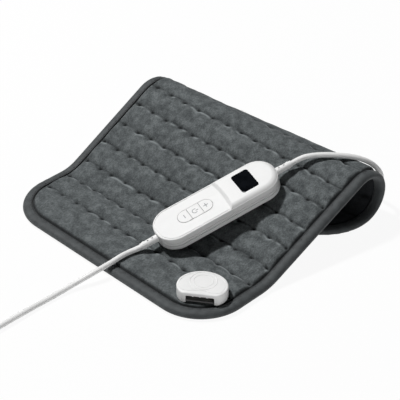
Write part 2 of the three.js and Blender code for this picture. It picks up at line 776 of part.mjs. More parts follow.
const panelBlock = solid(loft([caseRing(0, splitHeight + caseSeam), ...roundOver(panelRound, panelHeight)]));
const displayRise = displayHeight - panelHeight;
const displaySkin = roundOver(displayRound, displayHeight);
const displayBlock = solid(loft([caseRing(0, splitHeight + caseSeam), ...displaySkin]));
const displayRegion = new THREE.ExtrudeGeometry(displayEnd(displayRise / 2), {
  depth: panelHeight - splitHeight - panelRound,
  bevelThickness: displayRise,
  bevelSize: displayRise / 2,
  bevelSegments: 3,
  curveSegments: 6,
}).translate(0, 0, splitHeight + panelRound);
const outside = panelBlock.add(displayBlock.intersect(solid(displayRegion)));

const panelHollow = loft([caseRing(caseWall, 0), caseRing(caseWall, panelHeight - caseWall)]);
const endInset = 2.5 * caseWall;
const endHollow = solid(loft([caseRing(endInset, 0), caseRing(endInset, displayHeight - caseWall)]));
const displayHollow = endHollow.intersect(solid(prism(displayEnd(2 * caseWall), 0, displayHeight)));
const hollowed = cut(outside, panelHollow).subtract(displayHollow);

/** The pill of buttons, or a run of it, grown by a play. */
function buttonShape(from, to, grow) {
  const half = buttonsWidth / 2;
  const [first, last] = [buttonsPlace - buttonsLength / 2, buttonsPlace + buttonsLength / 2];
  const radius = half + grow;
  const shape = new THREE.Shape();
  if (to >= last) {
    shape.absarc(last - half, 0, radius, -Math.PI / 2, Math.PI / 2);
  } else {
    shape.moveTo(to, -radius);
    shape.lineTo(to, radius);
  }
  if (from <= first) {
    shape.absarc(first + half, 0, radius, Math.PI / 2, 1.5 * Math.PI);
  } else {
    shape.lineTo(from, radius);
    shape.lineTo(from, -radius);
  }
  return shape;
}

const pillStart = buttonsPlace - buttonsLength / 2;
const pillEnd = buttonsPlace + buttonsLength / 2;
const pillShape = buttonShape(pillStart, pillEnd, buttonPlay);
const pillOpening = prism(pillShape, panelHeight - 2 * caseWall, panelHeight + caseWall);
const windowFrame = (grow) => roundedRectangle(windowLength + 2 * grow, windowWidth + 2 * grow, windowCorner);
const windowSeat = displayHeight - windowThick - fitGap;
const windowRecess = prism(windowFrame(fitGap), windowSeat, displayHeight + caseWall, 2);
const windowHole = prism(windowFrame(-windowLip), panelHeight - caseWall, displayHeight, 2);
windowRecess.translate(windowPlace, 0, 0);
windowHole.translate(windowPlace, 0, 0);
const roofAt = (x) => (x < stepPlace ? panelHeight : displayHeight) - caseWall / 2;
const topPosts = postPlaces.map(([x, y]) => post(x, y, postDiameter, boardTop + fitGap, roofAt(x)));
const topPostHoles = postPlaces.map(([x, y]) => (
  post(x, y, caseScrew + 2 * screwPlay, boardTop - 1, panelHeight - 2 * caseWall)
));
const caseTop = cut(
  joined(hollowed, ...topPosts), pillOpening, windowRecess, windowHole, ...topPostHoles, reliefHole(),
);
piece(controller, 'case_top', geometryOf(caseTop), whitePlastic, 0.3);

const windowPane = prism(windowFrame(0), windowSeat + fitGap, displayHeight, 2).translate(windowPlace, 0, 0);
piece(controller, 'display_window', windowPane, blackGloss, 0.08);
const moduleTop = displayHeight - caseWall - fitGap;
const moduleLow = moduleTop - displayModule.height;
const moduleBox = block(windowPlace, 0, displayModule.length, displayModule.width, moduleLow, moduleTop);
piece(controller, 'display_module', moduleBox, 0x2f4a3c, 0.5);

// Buttons: each key stands in the pill, with a flange under the panel that keeps it in

const dividers = [buttonsPlace - buttonsMiddle / 2, buttonsPlace + buttonsMiddle / 2];
const flangeTop = panelHeight - caseWall - fitGap;
const flangeLow = flangeTop - buttonFlange;
const buttonRuns = [
  ['button_minus', pillStart, dividers[0] - buttonPlay / 2],
  ['button_power', dividers[0] + buttonPlay / 2, dividers[1] - buttonPlay / 2],
  ['button_plus', dividers[1] + buttonPlay / 2, pillEnd],
];
for (const [name, from, to] of buttonRuns) {
  const key = prism(buttonShape(from, to, 0), flangeTop - buttonFlange / 2, panelHeight + buttonProud);
  const flange = prism(buttonShape(from, to, buttonFlange), flangeLow, flangeTop);
  piece(controller, name, geometryOf(joined(solid(key), flange)), whitePlastic, 0.4);
}

// Circuit board and what stands on it

const boardLength = caseLength - 2 * (caseWall + boardEndGap);
const boardWidth = caseWidth - 2 * (caseWall + boardSideGap);
const boardShape = roundedRectangle(boardLength, boardWidth, caseCorner - caseWall - boardSideGap);
const boardHoles = postPlaces.map(([x, y]) => post(x, y, caseScrew + 2 * screwPlay, 0, 2 * boardTop));
const board = cut(solid(prism(boardShape, boardHeight, boardTop)), ...boardHoles);
piece(controller, 'circuit_board', geometryOf(board), 0x1f5a3a, 0.6);

const partLow = boardTop + fitGap;
const plungerTop = flangeLow - buttonTravel - fitGap;
for (const [name, from, to] of buttonRuns) {
  const middle = (from + to) / 2;
  const body = block(middle, 0, switchBody.side, switchBody.side, partLow, partLow + switchBody.height);
  const plunger = post(middle, 0, switchBody.plunger, partLow + switchBody.height / 2, plungerTop, 12);
  const keySwitch = geometryOf(joined(solid(body), plunger));
  piece(controller, name.replace('button', 'switch'), keySwitch, 0x26272a, 0.5);
}

/** A boxed component on the board, placed from the display end of the case. */
function component({ fromEnd, aside, length, width, height }) {
  return block(caseEnd - fromEnd, aside, length, width, partLow, partLow + height);
}

piece(controller, 'power_relay', component(relay), 0x2a4f8a, 0.5);
piece(controller, 'capacitor', component(capacitor), 0xb8862a, 0.5);
const fuseTube = rod(fuse.diameter, fuse.length, 14).rotateZ(Math.PI / 2);
fuseTube.translate(caseEnd - fuse.fromEnd, 0, partLow + fuse.diameter / 2);
piece(controller, 'fuse', fuseTube, 0xd8dde0, 0.2);
for (const [name, side] of [['mains_terminal', -1], ['output_terminal', 1]]) {
  const [length, width, top] = [terminal.length, terminal.width, partLow + terminal.height];
  const body = block(side * postLength, 0, length, width, partLow, top);
  piece(controller, name, body, 0x2d7a4a, 0.5);
}

postPlaces.forEach(([x, y], i) => {
  const headLow = fitGap;
  const screw = joined(
    solid(post(x, y, caseScrewHead.diameter, headLow, headLow + caseScrewHead.height)),
    post(x, y, caseScrew, headLow + caseScrewHead.height / 2, panelHeight - 2 * caseWall - fitGap),
  );
  piece(controller, `case_screw_${i + 1}`, geometryOf(screw), steel, 0.35, 0.9);
});

// Strain reliefs: a flange inside the wall, a neck through it and a tapered tail on the cord

const flangeIn = caseEnd - caseWall - fitGap;
const reliefTip = caseEnd + reliefReach;
const collarEnd = reliefTip - reliefCollar.fromEnd;
const collarStart = collarEnd - reliefCollar.thick;
const collarRadius = reliefCollar.diameter / 2;
const reliefRadius = (along) => (
  THREE.MathUtils.mapLinear(along, caseEnd, reliefTip, reliefNeck / 2, reliefEnd / 2)
);
const reliefProfile = [
  [flangeIn - reliefFlange.thick, reliefFlange.diameter / 2], [flangeIn, reliefFlange.diameter / 2],
  [flangeIn, reliefNeck / 2], [caseEnd, reliefNeck / 2],
  [collarStart, reliefRadius(collarStart)], [collarStart + tipRound, collarRadius],
  [collarEnd - tipRound, collarRadius], [collarEnd, reliefRadius(collarEnd)],
  [reliefTip - tipRound, reliefEnd / 2], [reliefTip, reliefEnd / 2 - tipRound],
];

/** Blind holes above and below that let the relief's tail flex. */
const flexHoles = [0, 1].flatMap((i) => {
  const along = caseEnd + flexHole.first + i * flexHole.pitch;
  const floor = reliefRadius(along) - flexHole.depth;
  return [
    post(along, 0, flexHole.diameter, floor, reliefNeck, 8),
    post(along, 0, flexHole.diameter, -reliefNeck, -floor, 8),
  ];
});
for (const [name, turn] of [['pad_cord_relief', 0], ['mains_cord_relief', Math.PI]]) {
  const relief = geometryOf(cut(solid(turned(reliefProfile)), ...flexHoles));
  piece(controller, name, relief.rotateZ(turn).translate(0, 0, reliefHeight), whitePlastic, 0.45);
}

// The controller rests on the pad at its two ends

const cordStart = reliefTip + fitGap;

controller.rotation.set(degrees(controllerRoll), -degrees(controllerPitch), degrees(controllerYaw), 'ZYX');
controller.position.set(controllerAcross, controllerIn, 0);

/** Height of the pad's upper face at a place on the table. */
function padTop(x, y) {
  let [low, high] = [0, padLength / 2];
  for (let i = 0; i < 30; i++) {
    const s = (low + high) / 2;
    if (padPoint(x, s, topOutside(edgeDistance(x, s), s)).y < y) {
      low = s;
    } else {
      high = s;
    }
  }
  return padPoint(x, low, topOutside(edgeDistance(x, low), low)).z;
}

/** How far the controller has to rise for its underside and reliefs to clear the pad. */
function restingHeight() {
  controller.updateMatrix();
  const soles = [1, 0.5, 0].flatMap((share) => caseRing(footRound + share * caseWidth / 2.5, 0));
  const tips = [-1, 1].flatMap((side) => [
    new THREE.Vector3(side * reliefTip, 0, reliefHeight - reliefEnd / 2),
    new THREE.Vector3(side * (cordStart + cordLead), 0, reliefHeight - cordDiameter / 2),
  ]);
  const lifts = [...soles, ...tips].map((p) => {
    const place = p.applyMatrix4(controller.matrix);
    return padTop(place.x, place.y) - place.z;
  });
  return Math.max(...lifts) + fitGap;
}

controller.position.z = restingHeight();
controller.updateMatrix();

// Cords

const cordShape = new THREE.Shape(Array.from({ length: cordSides }, (_, i) => {
  const angle = (2 * Math.PI * (i + 0.5)) / cordSides;
  return new THREE.Vector2((Math.cos(angle) * cordDiameter) / 2, (Math.sin(angle) * cordDiameter) / 2);
}));

/** A free stretch of cord along hand-picked places. */
function cordTube(places, steps) {
  const points = places.map((p) => new THREE.Vector3(...p));
  const extrudePath = new THREE.CatmullRomCurve3(points, false, 'centripetal');
  return new THREE.ExtrudeGeometry(cordShape, { steps, extrudePath, bevelEnabled: false });
}

/** A place on the axis of the controller's cords, beyond its reliefs. */
function cordAxis(along) {
  return new THREE.Vector3(along, 0, reliefHeight).applyMatrix4(controller.matrix).toArray();
}

const layerRise = cordDiameter + coilGap;
const coilPitch = cordDiameter + coilGap;
const coilOuter = coilMiddle + (coilPitch * coilTurns) / 4;
const coilInner = coilMiddle - (coilPitch * coilTurns) / 4;
const coilLow = tieThick + fitGap + cordDiameter / 2;
const coilCentre = new THREE.Vector3(6 - coilOuter, -162, 0);

const mainsRoute = [
  cordAxis(-cordStart), [20.5, 36.4, 14.6], [18.5, 29.1, 14], [17.7, 18, 14], [17.4, 5.4, 13.2], [16.2, -6.2, 12.1],
  [14.2, -16.6, 10.1], [11.6, -26.3, 7.6], [8.9, -38.7, 5], [7.2, -51.7, 3.4], [6.6, -65.4, 3], [6.1, -80.2, 3.1],
  [6, -97, 3.5], [6, -115.7, coilLow], [6, -133, coilLow], [6, -147, coilLow],
  [6, coilCentre.y + cordDiameter + fitGap, coilLow],
];
piece(cords, 'mains_cord', cordTube(mainsRoute, 22), whitePlastic, 0.4);

const leaveAngle = -2 * Math.PI * coilTurns;
const coilLeave = new THREE.Vector3(Math.sin(leaveAngle), -Math.cos(leaveAngle), 0);

/** The coil's centre line: it spirals in on the table, climbs, spirals out above and runs off straight. */
function coilLine() {
  const steps = Math.round(coilTurns * loopSteps);
  const middle = coilTurns / 2;
  const line = [new THREE.Vector3(coilOuter, cordDiameter, coilLow)];
  for (let i = 0; i <= steps; i++) {
    const turn = (i / steps) * coilTurns;
    const radius = coilInner + (coilOuter - coilInner) * (Math.abs(turn - middle) / middle);
    const climb = THREE.MathUtils.smoothstep(turn, middle - 0.25, middle + 0.25);
    const angle = -2 * Math.PI * turn;
    const height = coilLow + climb * layerRise;
    line.push(new THREE.Vector3(radius * Math.cos(angle), radius * Math.sin(angle), height));
  }
  const last = line[line.length - 1];
  line.push(last.clone().addScaledVector(coilLeave, coilTail - cordDiameter));
  line.push(last.clone().addScaledVector(coilLeave, coilTail));
  return line;
}

/** Rings of a round section along a line that runs mostly level. */
function tubeRings(line, diameter, sides) {
  return line.map((p, i) => {
    const ahead = line[Math.min(i + 1, line.length - 1)].clone().sub(line[Math.max(i - 1, 0)]).normalize();
    const aside = new THREE.Vector3(-ahead.y, ahead.x, 0).normalize();
    const up = new THREE.Vector3().crossVectors(ahead, aside);
    return Array.from({ length: sides }, (_, k) => {
      const angle = (2 * Math.PI * k) / sides;
      const [a, b] = [(Math.cos(angle) * diameter) / 2, (Math.sin(angle) * diameter) / 2];
      return p.clone().addScaledVector(aside, a).addScaledVector(up, b);
    });
  });
}

/** Least gap between the surface of a coiled tube and itself, on the points of its line. */
function leastGap(line, diameter, apart) {
  let least = Infinity;
  for (let i = 0; i < line.length; i++) {
    for (let j = i + apart; j < line.length; j++) {
      least = Math.min(least, line[i].distanceTo(line[j]) - diameter);
    }
  }
  return least;
}

const coil = coilLine();
const selfGap = leastGap(coil, cordDiameter, loopSteps / 2);
console.log(`mains_cord_coil: least gap to itself ${selfGap.toFixed(2)} mm`);
const coilTube = loft(tubeRings(coil, cordDiameter, loopSides));
piece(cords, 'mains_cord_coil', coilTube, whitePlastic, 0.4).position.copy(coilCentre);

/** The tie: a flat band closed round all the turns at one place of the coil. */
function coilTie() {
  const spread = coilOuter - coilInner + cordDiameter + 2 * fitGap;
  const rise = layerRise + cordDiameter + 2 * fitGap;
  const band = roundedRectangle(spread + 2 * tieThick, rise + 2 * tieThick, cordDiameter / 2 + tieThick);
  band.holes.push(roundedRectangle(spread, rise, cordDiameter / 2));
  const options = { depth: tieWidth, bevelEnabled: false, curveSegments: 3 };
  const geometry = new THREE.ExtrudeGeometry(band, options).translate(0, 0, -tieWidth / 2);
  geometry.rotateX(Math.PI / 2).translate((coilOuter + coilInner) / 2, 0, coilLow + layerRise / 2);
  return geometry.rotateZ(degrees(tieTurn));
}

piece(cords, 'cord_tie', coilTie(), 0x1c1d1f, 0.5).position.copy(coilCentre);

// Mains plug, in its own frame: the cord comes in along X

const mainsPlug = new THREE.Group();
const plugRise = coilLow + layerRise;
mainsPlug.position.copy(coil[coil.length - 1]).add(coilCentre);
mainsPlug.rotation.z = Math.atan2(coilLeave.y, coilLeave.x);

/** A ring of a rounded rectangle standing square to X. */
function standingRing(x, width, thick, lift = 0) {
  const outline = roundedRectangle(width, thick, thick * 0.32);
  return outline.getPoints(2).map((p) => new THREE.Vector3(x, p.x, p.y + lift));
}

const plugDrop = plugThick / 2 - plugRise;
const plugStart = plugRelief.length + 2 * fitGap;
const plugRings = [[0, 0, 0], [0.3, 0.23, 0.31], [0.55, 0.77, 1], [0.8, 1, 1], [1, 0.92, 0.81]]
  .map(([along, wide, full]) => standingRing(
    plugStart + along * plugLength,
    THREE.MathUtils.lerp(plugRear.width, plugWidth, wide),
    THREE.MathUtils.lerp(plugRear.thick, plugThick, full),
    plugDrop,
  ));
const pinFront = plugStart + plugLength;
const pinPlaces = [-plugPin.span / 2, plugPin.span / 2];
const pinSockets = pinPlaces.map((y) => (
  rod(plugPin.diameter + 2 * fitGap, plugPin.length).translate(pinFront, y, plugDrop)
));
const plugBody = cut(solid(loft(plugRings)), ...pinSockets);
piece(mainsPlug, 'mains_plug', geometryOf(plugBody), whitePlastic, 0.4);

const pinRadius = plugPin.diameter / 2;
const pinProfile = [
  [fitGap - plugPin.length / 2, pinRadius], [plugPin.length - plugPin.tip, pinRadius],
  [plugPin.length, pinRadius - plugPin.tip],
];
pinPlaces.forEach((y, i) => {
  const pin = turned(pinProfile, 12).translate(pinFront, y, plugDrop);
  piece(mainsPlug, `plug_pin_${i + 1}`, pin, brass, 0.3, 0.9);
});

/** The tapered tail of a plug, with its thin end at the origin. */
const plugTail = () => turned([
  [0, plugRelief.end / 2 - tipRound], [2 * tipRound, plugRelief.end / 2],
  [plugRelief.length, plugRelief.start / 2],
]);
piece(mainsPlug, 'mains_plug_relief', plugTail().translate(fitGap, 0, 0), whitePlastic, 0.45);
cords.add(mainsPlug);

// Short cord to the pad, over the ridge and along the back of the roll, and the plug that fits the socket

const padPlugAt = new THREE.Vector3(-62, 296, padPlugThick / 2);
const padCordEnd = padPlugAt.x + plugStart;
const padRoute = [
  cordAxis(cordStart), cordAxis(cordStart + cordDiameter),
  [83.4, 217.6, 70.1], [87.2, 223.8, 71], [91.8, 229.9, 71.3], [97, 235.7, 71.4], [102.6, 241.6, 71.1],
  [109.4, 248.4, 70.4], [116.4, 255.6, 68.8], [123.6, 264, 65.2], [130, 272.6, 58.8], [133.8, 279.8, 50],
  [134.6, 285.4, 40.4], [132.2, 289.2, 30.8], [127, 292, 21.6], [119.5, 293.8, 13.4], [110.5, 294.9, 7.2],
  [99.5, 295.6, 3.8], [88, 295.8, 2.9], [72, 296, 2.8], [52, 296.4, 2.8], [30, 296.6, 2.8], [8, 296.4, 2.9],
  [-12, 296.1, 3.6], [-26, 296, 5.2],
  [padCordEnd + cordDiameter, padPlugAt.y, padPlugAt.z], [padCordEnd, padPlugAt.y, padPlugAt.z],
];
piece(cords, 'pad_cord', cordTube(padRoute, 46), whitePlastic, 0.4);

const padPlug = new THREE.Group();
padPlug.position.copy(padPlugAt);
padPlug.rotation.z = Math.PI;
const padTail = plugTail().translate(-plugRelief.length - fitGap, 0, 0);
piece(padPlug, 'pad_plug_relief', padTail, whitePlastic, 0.45);
const padPlugRings = [[0, 0, 0], [0.35, 0.67, 0.68], [0.7, 1, 1], [1, 1, 1]]
  .map(([along, wide, full]) => standingRing(
    along * padPlugLength,
    THREE.MathUtils.lerp(padPlugRear.width, padPlugWidth, wide),
    THREE.MathUtils.lerp(padPlugRear.thick, padPlugThick, full),
  ));
const tongueWide = slotWidth - 2 * tonguePlay;
const tongueThick = slotHeight - 2 * tonguePlay;
const tongue = new THREE.BoxGeometry(2 * tongueReach, tongueWide, tongueThick).translate(padPlugLength, 0, 0);
const keyways = keyPlaces.map((y) => {
  const groove = new THREE.BoxGeometry(tongueReach, keyWidth + 2 * tonguePlay, 2 * (keyHeight + tonguePlay));
  return groove.translate(padPlugLength + tongueReach / 2 + fitGap, y, tongueThick / 2);
});
const receptacles = contactPlaces.map((y) => {
  const size = contactSize + 2 * screwPlay;
  return new THREE.BoxGeometry(2 * contactReach, size, size).translate(padPlugLength + tongueReach, y, 0);
});
const padPlugBody = cut(joined(solid(loft(padPlugRings)), tongue), ...keyways, ...receptacles);
piece(padPlug, 'pad_plug', geometryOf(padPlugBody), whitePlastic, 0.4);
cords.add(padPlug);

// The whole, with its origin under the middle of the pad as it lies

const heatingPad = new THREE.Group();
pad.add(socket);
heatingPad.add(pad, controller, cords);
const lies = new THREE.Box3().setFromObject(pad);
heatingPad.position.y = -(lies.min.y + lies.max.y) / 2;

export default heatingPad;
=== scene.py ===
import math

import bmesh
import bpy
import numpy as np
from mathutils import Matrix, Vector


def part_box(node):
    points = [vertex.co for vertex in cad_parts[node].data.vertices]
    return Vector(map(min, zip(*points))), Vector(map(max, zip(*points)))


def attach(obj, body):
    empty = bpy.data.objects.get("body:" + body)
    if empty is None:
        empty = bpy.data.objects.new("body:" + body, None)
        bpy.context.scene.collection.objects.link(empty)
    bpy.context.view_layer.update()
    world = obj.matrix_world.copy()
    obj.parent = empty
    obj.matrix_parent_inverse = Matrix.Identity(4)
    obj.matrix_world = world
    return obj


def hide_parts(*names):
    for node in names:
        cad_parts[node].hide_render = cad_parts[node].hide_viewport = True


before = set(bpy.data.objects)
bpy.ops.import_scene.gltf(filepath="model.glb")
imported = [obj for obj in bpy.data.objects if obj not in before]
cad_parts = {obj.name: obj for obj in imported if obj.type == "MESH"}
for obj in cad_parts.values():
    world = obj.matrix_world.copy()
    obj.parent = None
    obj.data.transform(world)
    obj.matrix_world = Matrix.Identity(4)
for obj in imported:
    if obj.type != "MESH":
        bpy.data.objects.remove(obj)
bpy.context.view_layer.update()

# Camera: the photograph's place, worked out from the pad's corners and its stitch lines.
# It looks down over the near right corner of the pad with a long lens.
MM = 0.001
near_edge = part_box("edge_binding")[0].y


def at(x, y, z):
    """A place in metres, from millimetres measured from the pad's near edge."""
    return Vector((x * MM, near_edge + y * MM, z * MM))


def new_object(name, data):
    """An object in the scene that shows the given data."""
    made = bpy.data.objects.new(name, data)
    bpy.context.scene.collection.objects.link(made)
    return made


def look_back(made, target, direction, distance):
    """Sets a camera or a lamp off from a target in a direction, looking back at it."""
    made.location = target + direction * distance
    made.rotation_euler = direction.to_track_quat("Z", "Y").to_euler()


view_azimuth, view_elevation = math.radians(44.72), math.radians(34.65)
view_target, view_distance = at(0, 150, 30), 1478 * MM
view_back = Vector((
    math.sin(view_azimuth) * math.cos(view_elevation),
    -math.cos(view_azimuth) * math.cos(view_elevation),
    math.sin(view_elevation),
))
lens = bpy.data.cameras.new("photo_camera")
lens.sensor_width = 36
lens.lens = 125.4
lens.shift_x = -0.00083
lens.shift_y = -0.0414
lens.clip_start = 0.05
lens.clip_end = 20
camera = new_object("photo_camera", lens)
look_back(camera, view_target, view_back, view_distance)
bpy.context.scene.camera = camera

# Mains lead: a round white cord from the controller over the pad's near edge, with its spare length
# wound flat and tied. The moulded two-pin plug has a ribbed grip, a soft tapered tail and brass pins.
cord_diameter = 5.5
cord_radius = cord_diameter / 2
case_yaw, case_pitch, case_roll = 71.0, 16.4, 5.4
window_middle = Vector((35.9, 0, 19.85))
cord_rise, cord_start = 9.2, 90.3
case_turn = (
    Matrix.Rotation(math.radians(case_yaw), 4, "Z")
    @ Matrix.Rotation(math.radians(-case_pitch), 4, "Y")
    @ Matrix.Rotation(math.radians(case_roll), 4, "X")
)
window_low, window_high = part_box("display_window")
case_place = (
    Matrix.Translation((window_low + window_high) / 2 - case_turn @ (window_middle * MM))
    @ case_turn
    @ Matrix.Scale(MM, 4)
)


def cord_axis(along):
    """A place on the axis of the controller's cords, beyond its strain reliefs."""
    return case_place @ Vector((along, 0, cord_rise))


def set_down(place, turn):
    """Stands a piece that is drawn in millimetres at a place, turned about the upright axis."""
    return Matrix.Translation(place) @ Matrix.Rotation(turn, 4, "Z") @ Matrix.Scale(MM, 4)


def smooth_route(places, steps=12):
    """Points along the smooth line that a cord takes through the given places."""
    ends = [2 * places[0] - places[1], *places, 2 * places[-1] - places[-2]]
    line = []
    for a, b, c, d in zip(ends, ends[1:], ends[2:], ends[3:]):
        before, span, after = ((q - p).length ** 0.5 for p, q in ((a, b), (b, c), (c, d)))
        leave = span * ((b - a) / before - (c - a) / (before + span) + (c - b) / span)
        reach = span * ((c - b) / span - (d - b) / (span + after) + (d - c) / after)
        for i in range(steps):
            t = i / steps
            line.append(
                b * (2 * t**3 - 3 * t**2 + 1)
                + leave * (t**3 - 2 * t**2 + t)
                + c * (3 * t**2 - 2 * t**3)
                + reach * (t**3 - t**2)
            )
    line.append(places[-1])
    return line


def ease(value, low, high):
    """0 below low and 1 above high, with a smooth run between."""
    t = np.clip((value - low) / (high - low), 0, 1)
    return t * t * (3 - 2 * t)


def feed(tree, node, inputs):
    """Sets a node's inputs to values, or joins them to other nodes' outputs."""
    for key, value in inputs.items():
        if isinstance(value, bpy.types.NodeSocket):
            tree.links.new(value, node.inputs[key])
        else:
            node.inputs[key].default_value = value


def add_node(tree, kind, inputs, **settings):
    """A new node with its settings and its inputs."""
    node = tree.nodes.new(kind)
    for name, value in settings.items():
        setattr(node, name, value)
    feed(tree, node, inputs)
    return node


def start_material(name):
    """A new material with its node tree, its shader and the object's coordinates."""
    made = bpy.data.materials.new(name)
    made.use_nodes = True
    tree = made.node_tree
    coords = add_node(tree, "ShaderNodeTexCoord", {}).outputs["Object"]
    return made, tree, tree.nodes["Principled BSDF"], coords


def noise_on(tree, coords, scale, detail):
    """A noise pattern on the given coordinates."""
    inputs = {"Vector": coords, "Scale": scale, "Detail": detail}
    return add_node(tree, "ShaderNodeTexNoise", inputs).outputs["Fac"]


def tint(tree, share, *stops):
    """A colour that runs through the stops, each a place and a colour."""
    ramp = add_node(tree, "ShaderNodeValToRGB", {"Fac": share})
    while len(ramp.color_ramp.elements) < len(stops):
        ramp.color_ramp.elements.new(0.5)
    for element, (place, colour) in zip(ramp.color_ramp.elements, stops):
        element.position = place
        element.color = (*colour, 1)
    return ramp.outputs["Color"]


def spread(tree, share, low, high):
    """A number that runs from low to high with a pattern's own range."""
    inputs = {"Value": share, "From Min": 0.3, "From Max": 0.7, "To Min": low, "To Max": high}
    return add_node(tree, "ShaderNodeMapRange", inputs).outputs["Result"]


def overlay(tree, share, under, over):
    """One colour laid over another by a share."""
    inputs = {"Factor": share, 6: under, 7: (*over, 1)}
    return add_node(tree, "ShaderNodeMix", inputs, data_type="RGBA").outputs[2]


def relief_bump(tree, shader, height, strength, distance):
    """Raises a surface by a pattern."""
    bump = add_node(tree, "ShaderNodeBump", {"Height": height, "Strength": strength, "Distance": distance})
    feed(tree, shader, {"Normal": bump.outputs["Normal"]})


def moulded(name, colour, roughness, grain=0.04):
    """Moulded plastic: a faint unevenness of colour and gloss, over a fine spark-eroded grain."""
    made, tree, shader, coords = start_material(name)
    cloud = noise_on(tree, coords, 55, 3)
    dark = tuple(c * 0.955 for c in colour)
    feed(tree, shader, {
        "Base Color": tint(tree, cloud, (0.35, dark), (0.65, colour)),
        "Roughness": spread(tree, cloud, roughness - 0.04, roughness + 0.06),
    })
    relief_bump(tree, shader, noise_on(tree, coords, 2600, 2), grain, 0.00005)
    return made


def mottled(name, grain, dark_stop, light_stop, gloss, others, bump=None):
    """A finish whose tone varies with one grain, given as scale and detail, and its gloss or relief too."""
    made, tree, shader, coords = start_material(name)
    pattern = noise_on(tree, coords, *grain)
    feed(tree, shader, {"Base Color": tint(tree, pattern, dark_stop, light_stop), **others})
    if gloss:
        feed(tree, shader, {"Roughness": spread(tree, pattern, *gloss)})
    if bump:
        relief_bump(tree, shader, pattern, *bump)
    return made


def blank(name, rings, looped=False):
    """A closed body in its maker's own frame: a skin through rings of points, capped or closed round."""
    count = len(rings[0])
    points = [tuple(p) for ring in rings for p in ring]
    faces = []
    for r in range(len(rings) if looped else len(rings) - 1):
        here, there = r * count, (r + 1) % len(rings) * count
        for i in range(count):
            j = (i + 1) % count
            faces.append((here + i, here + j, there + j, there + i))
    if not looped:
        faces.append(tuple(range(count))[::-1])
        faces.append(tuple(range((len(rings) - 1) * count, len(rings) * count)))
    mesh = bpy.data.meshes.new(name)
    mesh.from_pydata(points, [], faces)
    work = bmesh.new()
    work.from_mesh(mesh)
    bmesh.ops.remove_doubles(work, verts=work.verts, dist=1e-5)
    bmesh.ops.recalc_face_normals(work, faces=work.faces)
    work.to_mesh(mesh)
    work.free()
    return new_object(name, mesh)


def carve(body, tool, how="DIFFERENCE"):
    """Cuts a tool's shape out of a body, joins it on or keeps what both share, and takes the tool away."""
    step = body.modifiers.new("carve", "BOOLEAN")
    step.operation = how
    step.solver = "EXACT"
    step.object = tool
    bpy.context.view_layer.update()
    evaluated = body.evaluated_get(bpy.context.evaluated_depsgraph_get())
    carved = bpy.data.meshes.new_from_object(evaluated)
    body.modifiers.clear()
    rough, spent = body.data, tool.data
    body.data = carved
    bpy.data.objects.remove(tool)
    bpy.data.meshes.remove(rough)
    bpy.data.meshes.remove(spent)


def cut(body, name, rings, how="DIFFERENCE", looped=False):
    """Carves a body with a tool that is given as rings of points."""
    carve(body, blank(name, rings, looped), how)


def fit(body, place, finish, rides, stands_for=(), sharp=32):
    """Sets a finished body in its place on the object, with its finish and the CAD nodes it stands for."""
    mesh = body.data
    mesh.transform(place)
    mesh.shade_smooth()
    mesh.set_sharp_from_angle(angle=math.radians(sharp))
    mesh.materials.clear()
    mesh.materials.append(finish)
    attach(body, rides)
    if stands_for:
        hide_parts(*stands_for)
    return body


def rounded_rectangle(length, width, radius, steps=8):
    """Points round a rounded rectangle about the origin, with its length along the first axis."""
    points = []
    corners = ((1, -1, -90), (1, 1, 0), (-1, 1, 90), (-1, -1, 180))
    for a, b, start in corners:
        for i in range(steps + 1):
            angle = math.radians(start + 90 * i / steps)
            points.append((
                a * (length / 2 - radius) + radius * math.cos(angle),
                b * (width / 2 - radius) + radius * math.sin(angle),
            ))
    return points


def turned(profile, sides=40):
    """Rings of a turned body about the X axis, from its radius at places along X."""
    angles = [2 * math.pi * i / sides for i in range(sides)]
    return [[(x, r * math.cos(a), r * math.sin(a)) for a in angles] for x, r in profile]


def cord_piece(name, line, finish):
    """A round cord along a line."""
    curve = bpy.data.curves.new(name, "CURVE")
    curve.dimensions = "3D"
    curve.bevel_depth = cord_radius * MM
    curve.bevel_resolution = 5
    curve.use_fill_caps = True
    spline = curve.splines.new("POLY")
    spline.points.add(len(line) - 1)
    for point, place in zip(spline.points, line):
        point.co = (*place, 1)
    spline.use_smooth = True
    curve.materials.append(finish)
    piece = new_object(name, curve)
    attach(piece, "controller")
    return piece


cord_white = moulded("cord_sheath_white", (0.88, 0.88, 0.875), 0.45)
plug_white = moulded("plug_white", (0.83, 0.83, 0.82), 0.4)
tail_white = moulded("soft_tail_white", (0.86, 0.86, 0.855), 0.5)
tie_black = moulded("tie_black", (0.016, 0.017, 0.019), 0.5, 0.1)

coil_low, coil_entry = 3.85, 6
coil_outer, coil_inner, coil_turns, coil_rise, coil_tail = 42.375, 23.625, 6.25, 6.0, 14
coil_middle = (coil_entry - coil_outer, -162)
coil_steps = 48
mains_places = [cord_axis(-cord_start)]
mains_places += [at(*p) for p in (
    (20.5, 36.4, 14.6), (18.5, 29.1, 14), (17.7, 18, 14), (17.4, 5.4, 13.2), (16.2, -6.2, 12.1),
    (14.2, -16.6, 10.1), (11.6, -26.3, 7.6), (8.9, -38.7, 5), (7.2, -51.7, 3.4), (6.6, -65.4, 3),
    (6.1, -80.2, 3.1), (6, -97, 3.5), (6, -115.7, coil_low), (6, -133, coil_low), (6, -147, coil_low),
    (coil_entry, -156.2, coil_low),
)]


def coil_point(turn):
    """A place on the wound cord, which winds in along the table, climbs and winds out on top."""
    half = coil_turns / 2
    radius = coil_inner + (coil_outer - coil_inner) * abs(turn - half) / half
    angle = -2 * math.pi * turn
    return at(
        coil_middle[0] + radius * math.cos(angle),
        coil_middle[1] + radius * math.sin(angle),
        coil_low + coil_rise * ease(turn - half, -0.25, 0.25),
    )


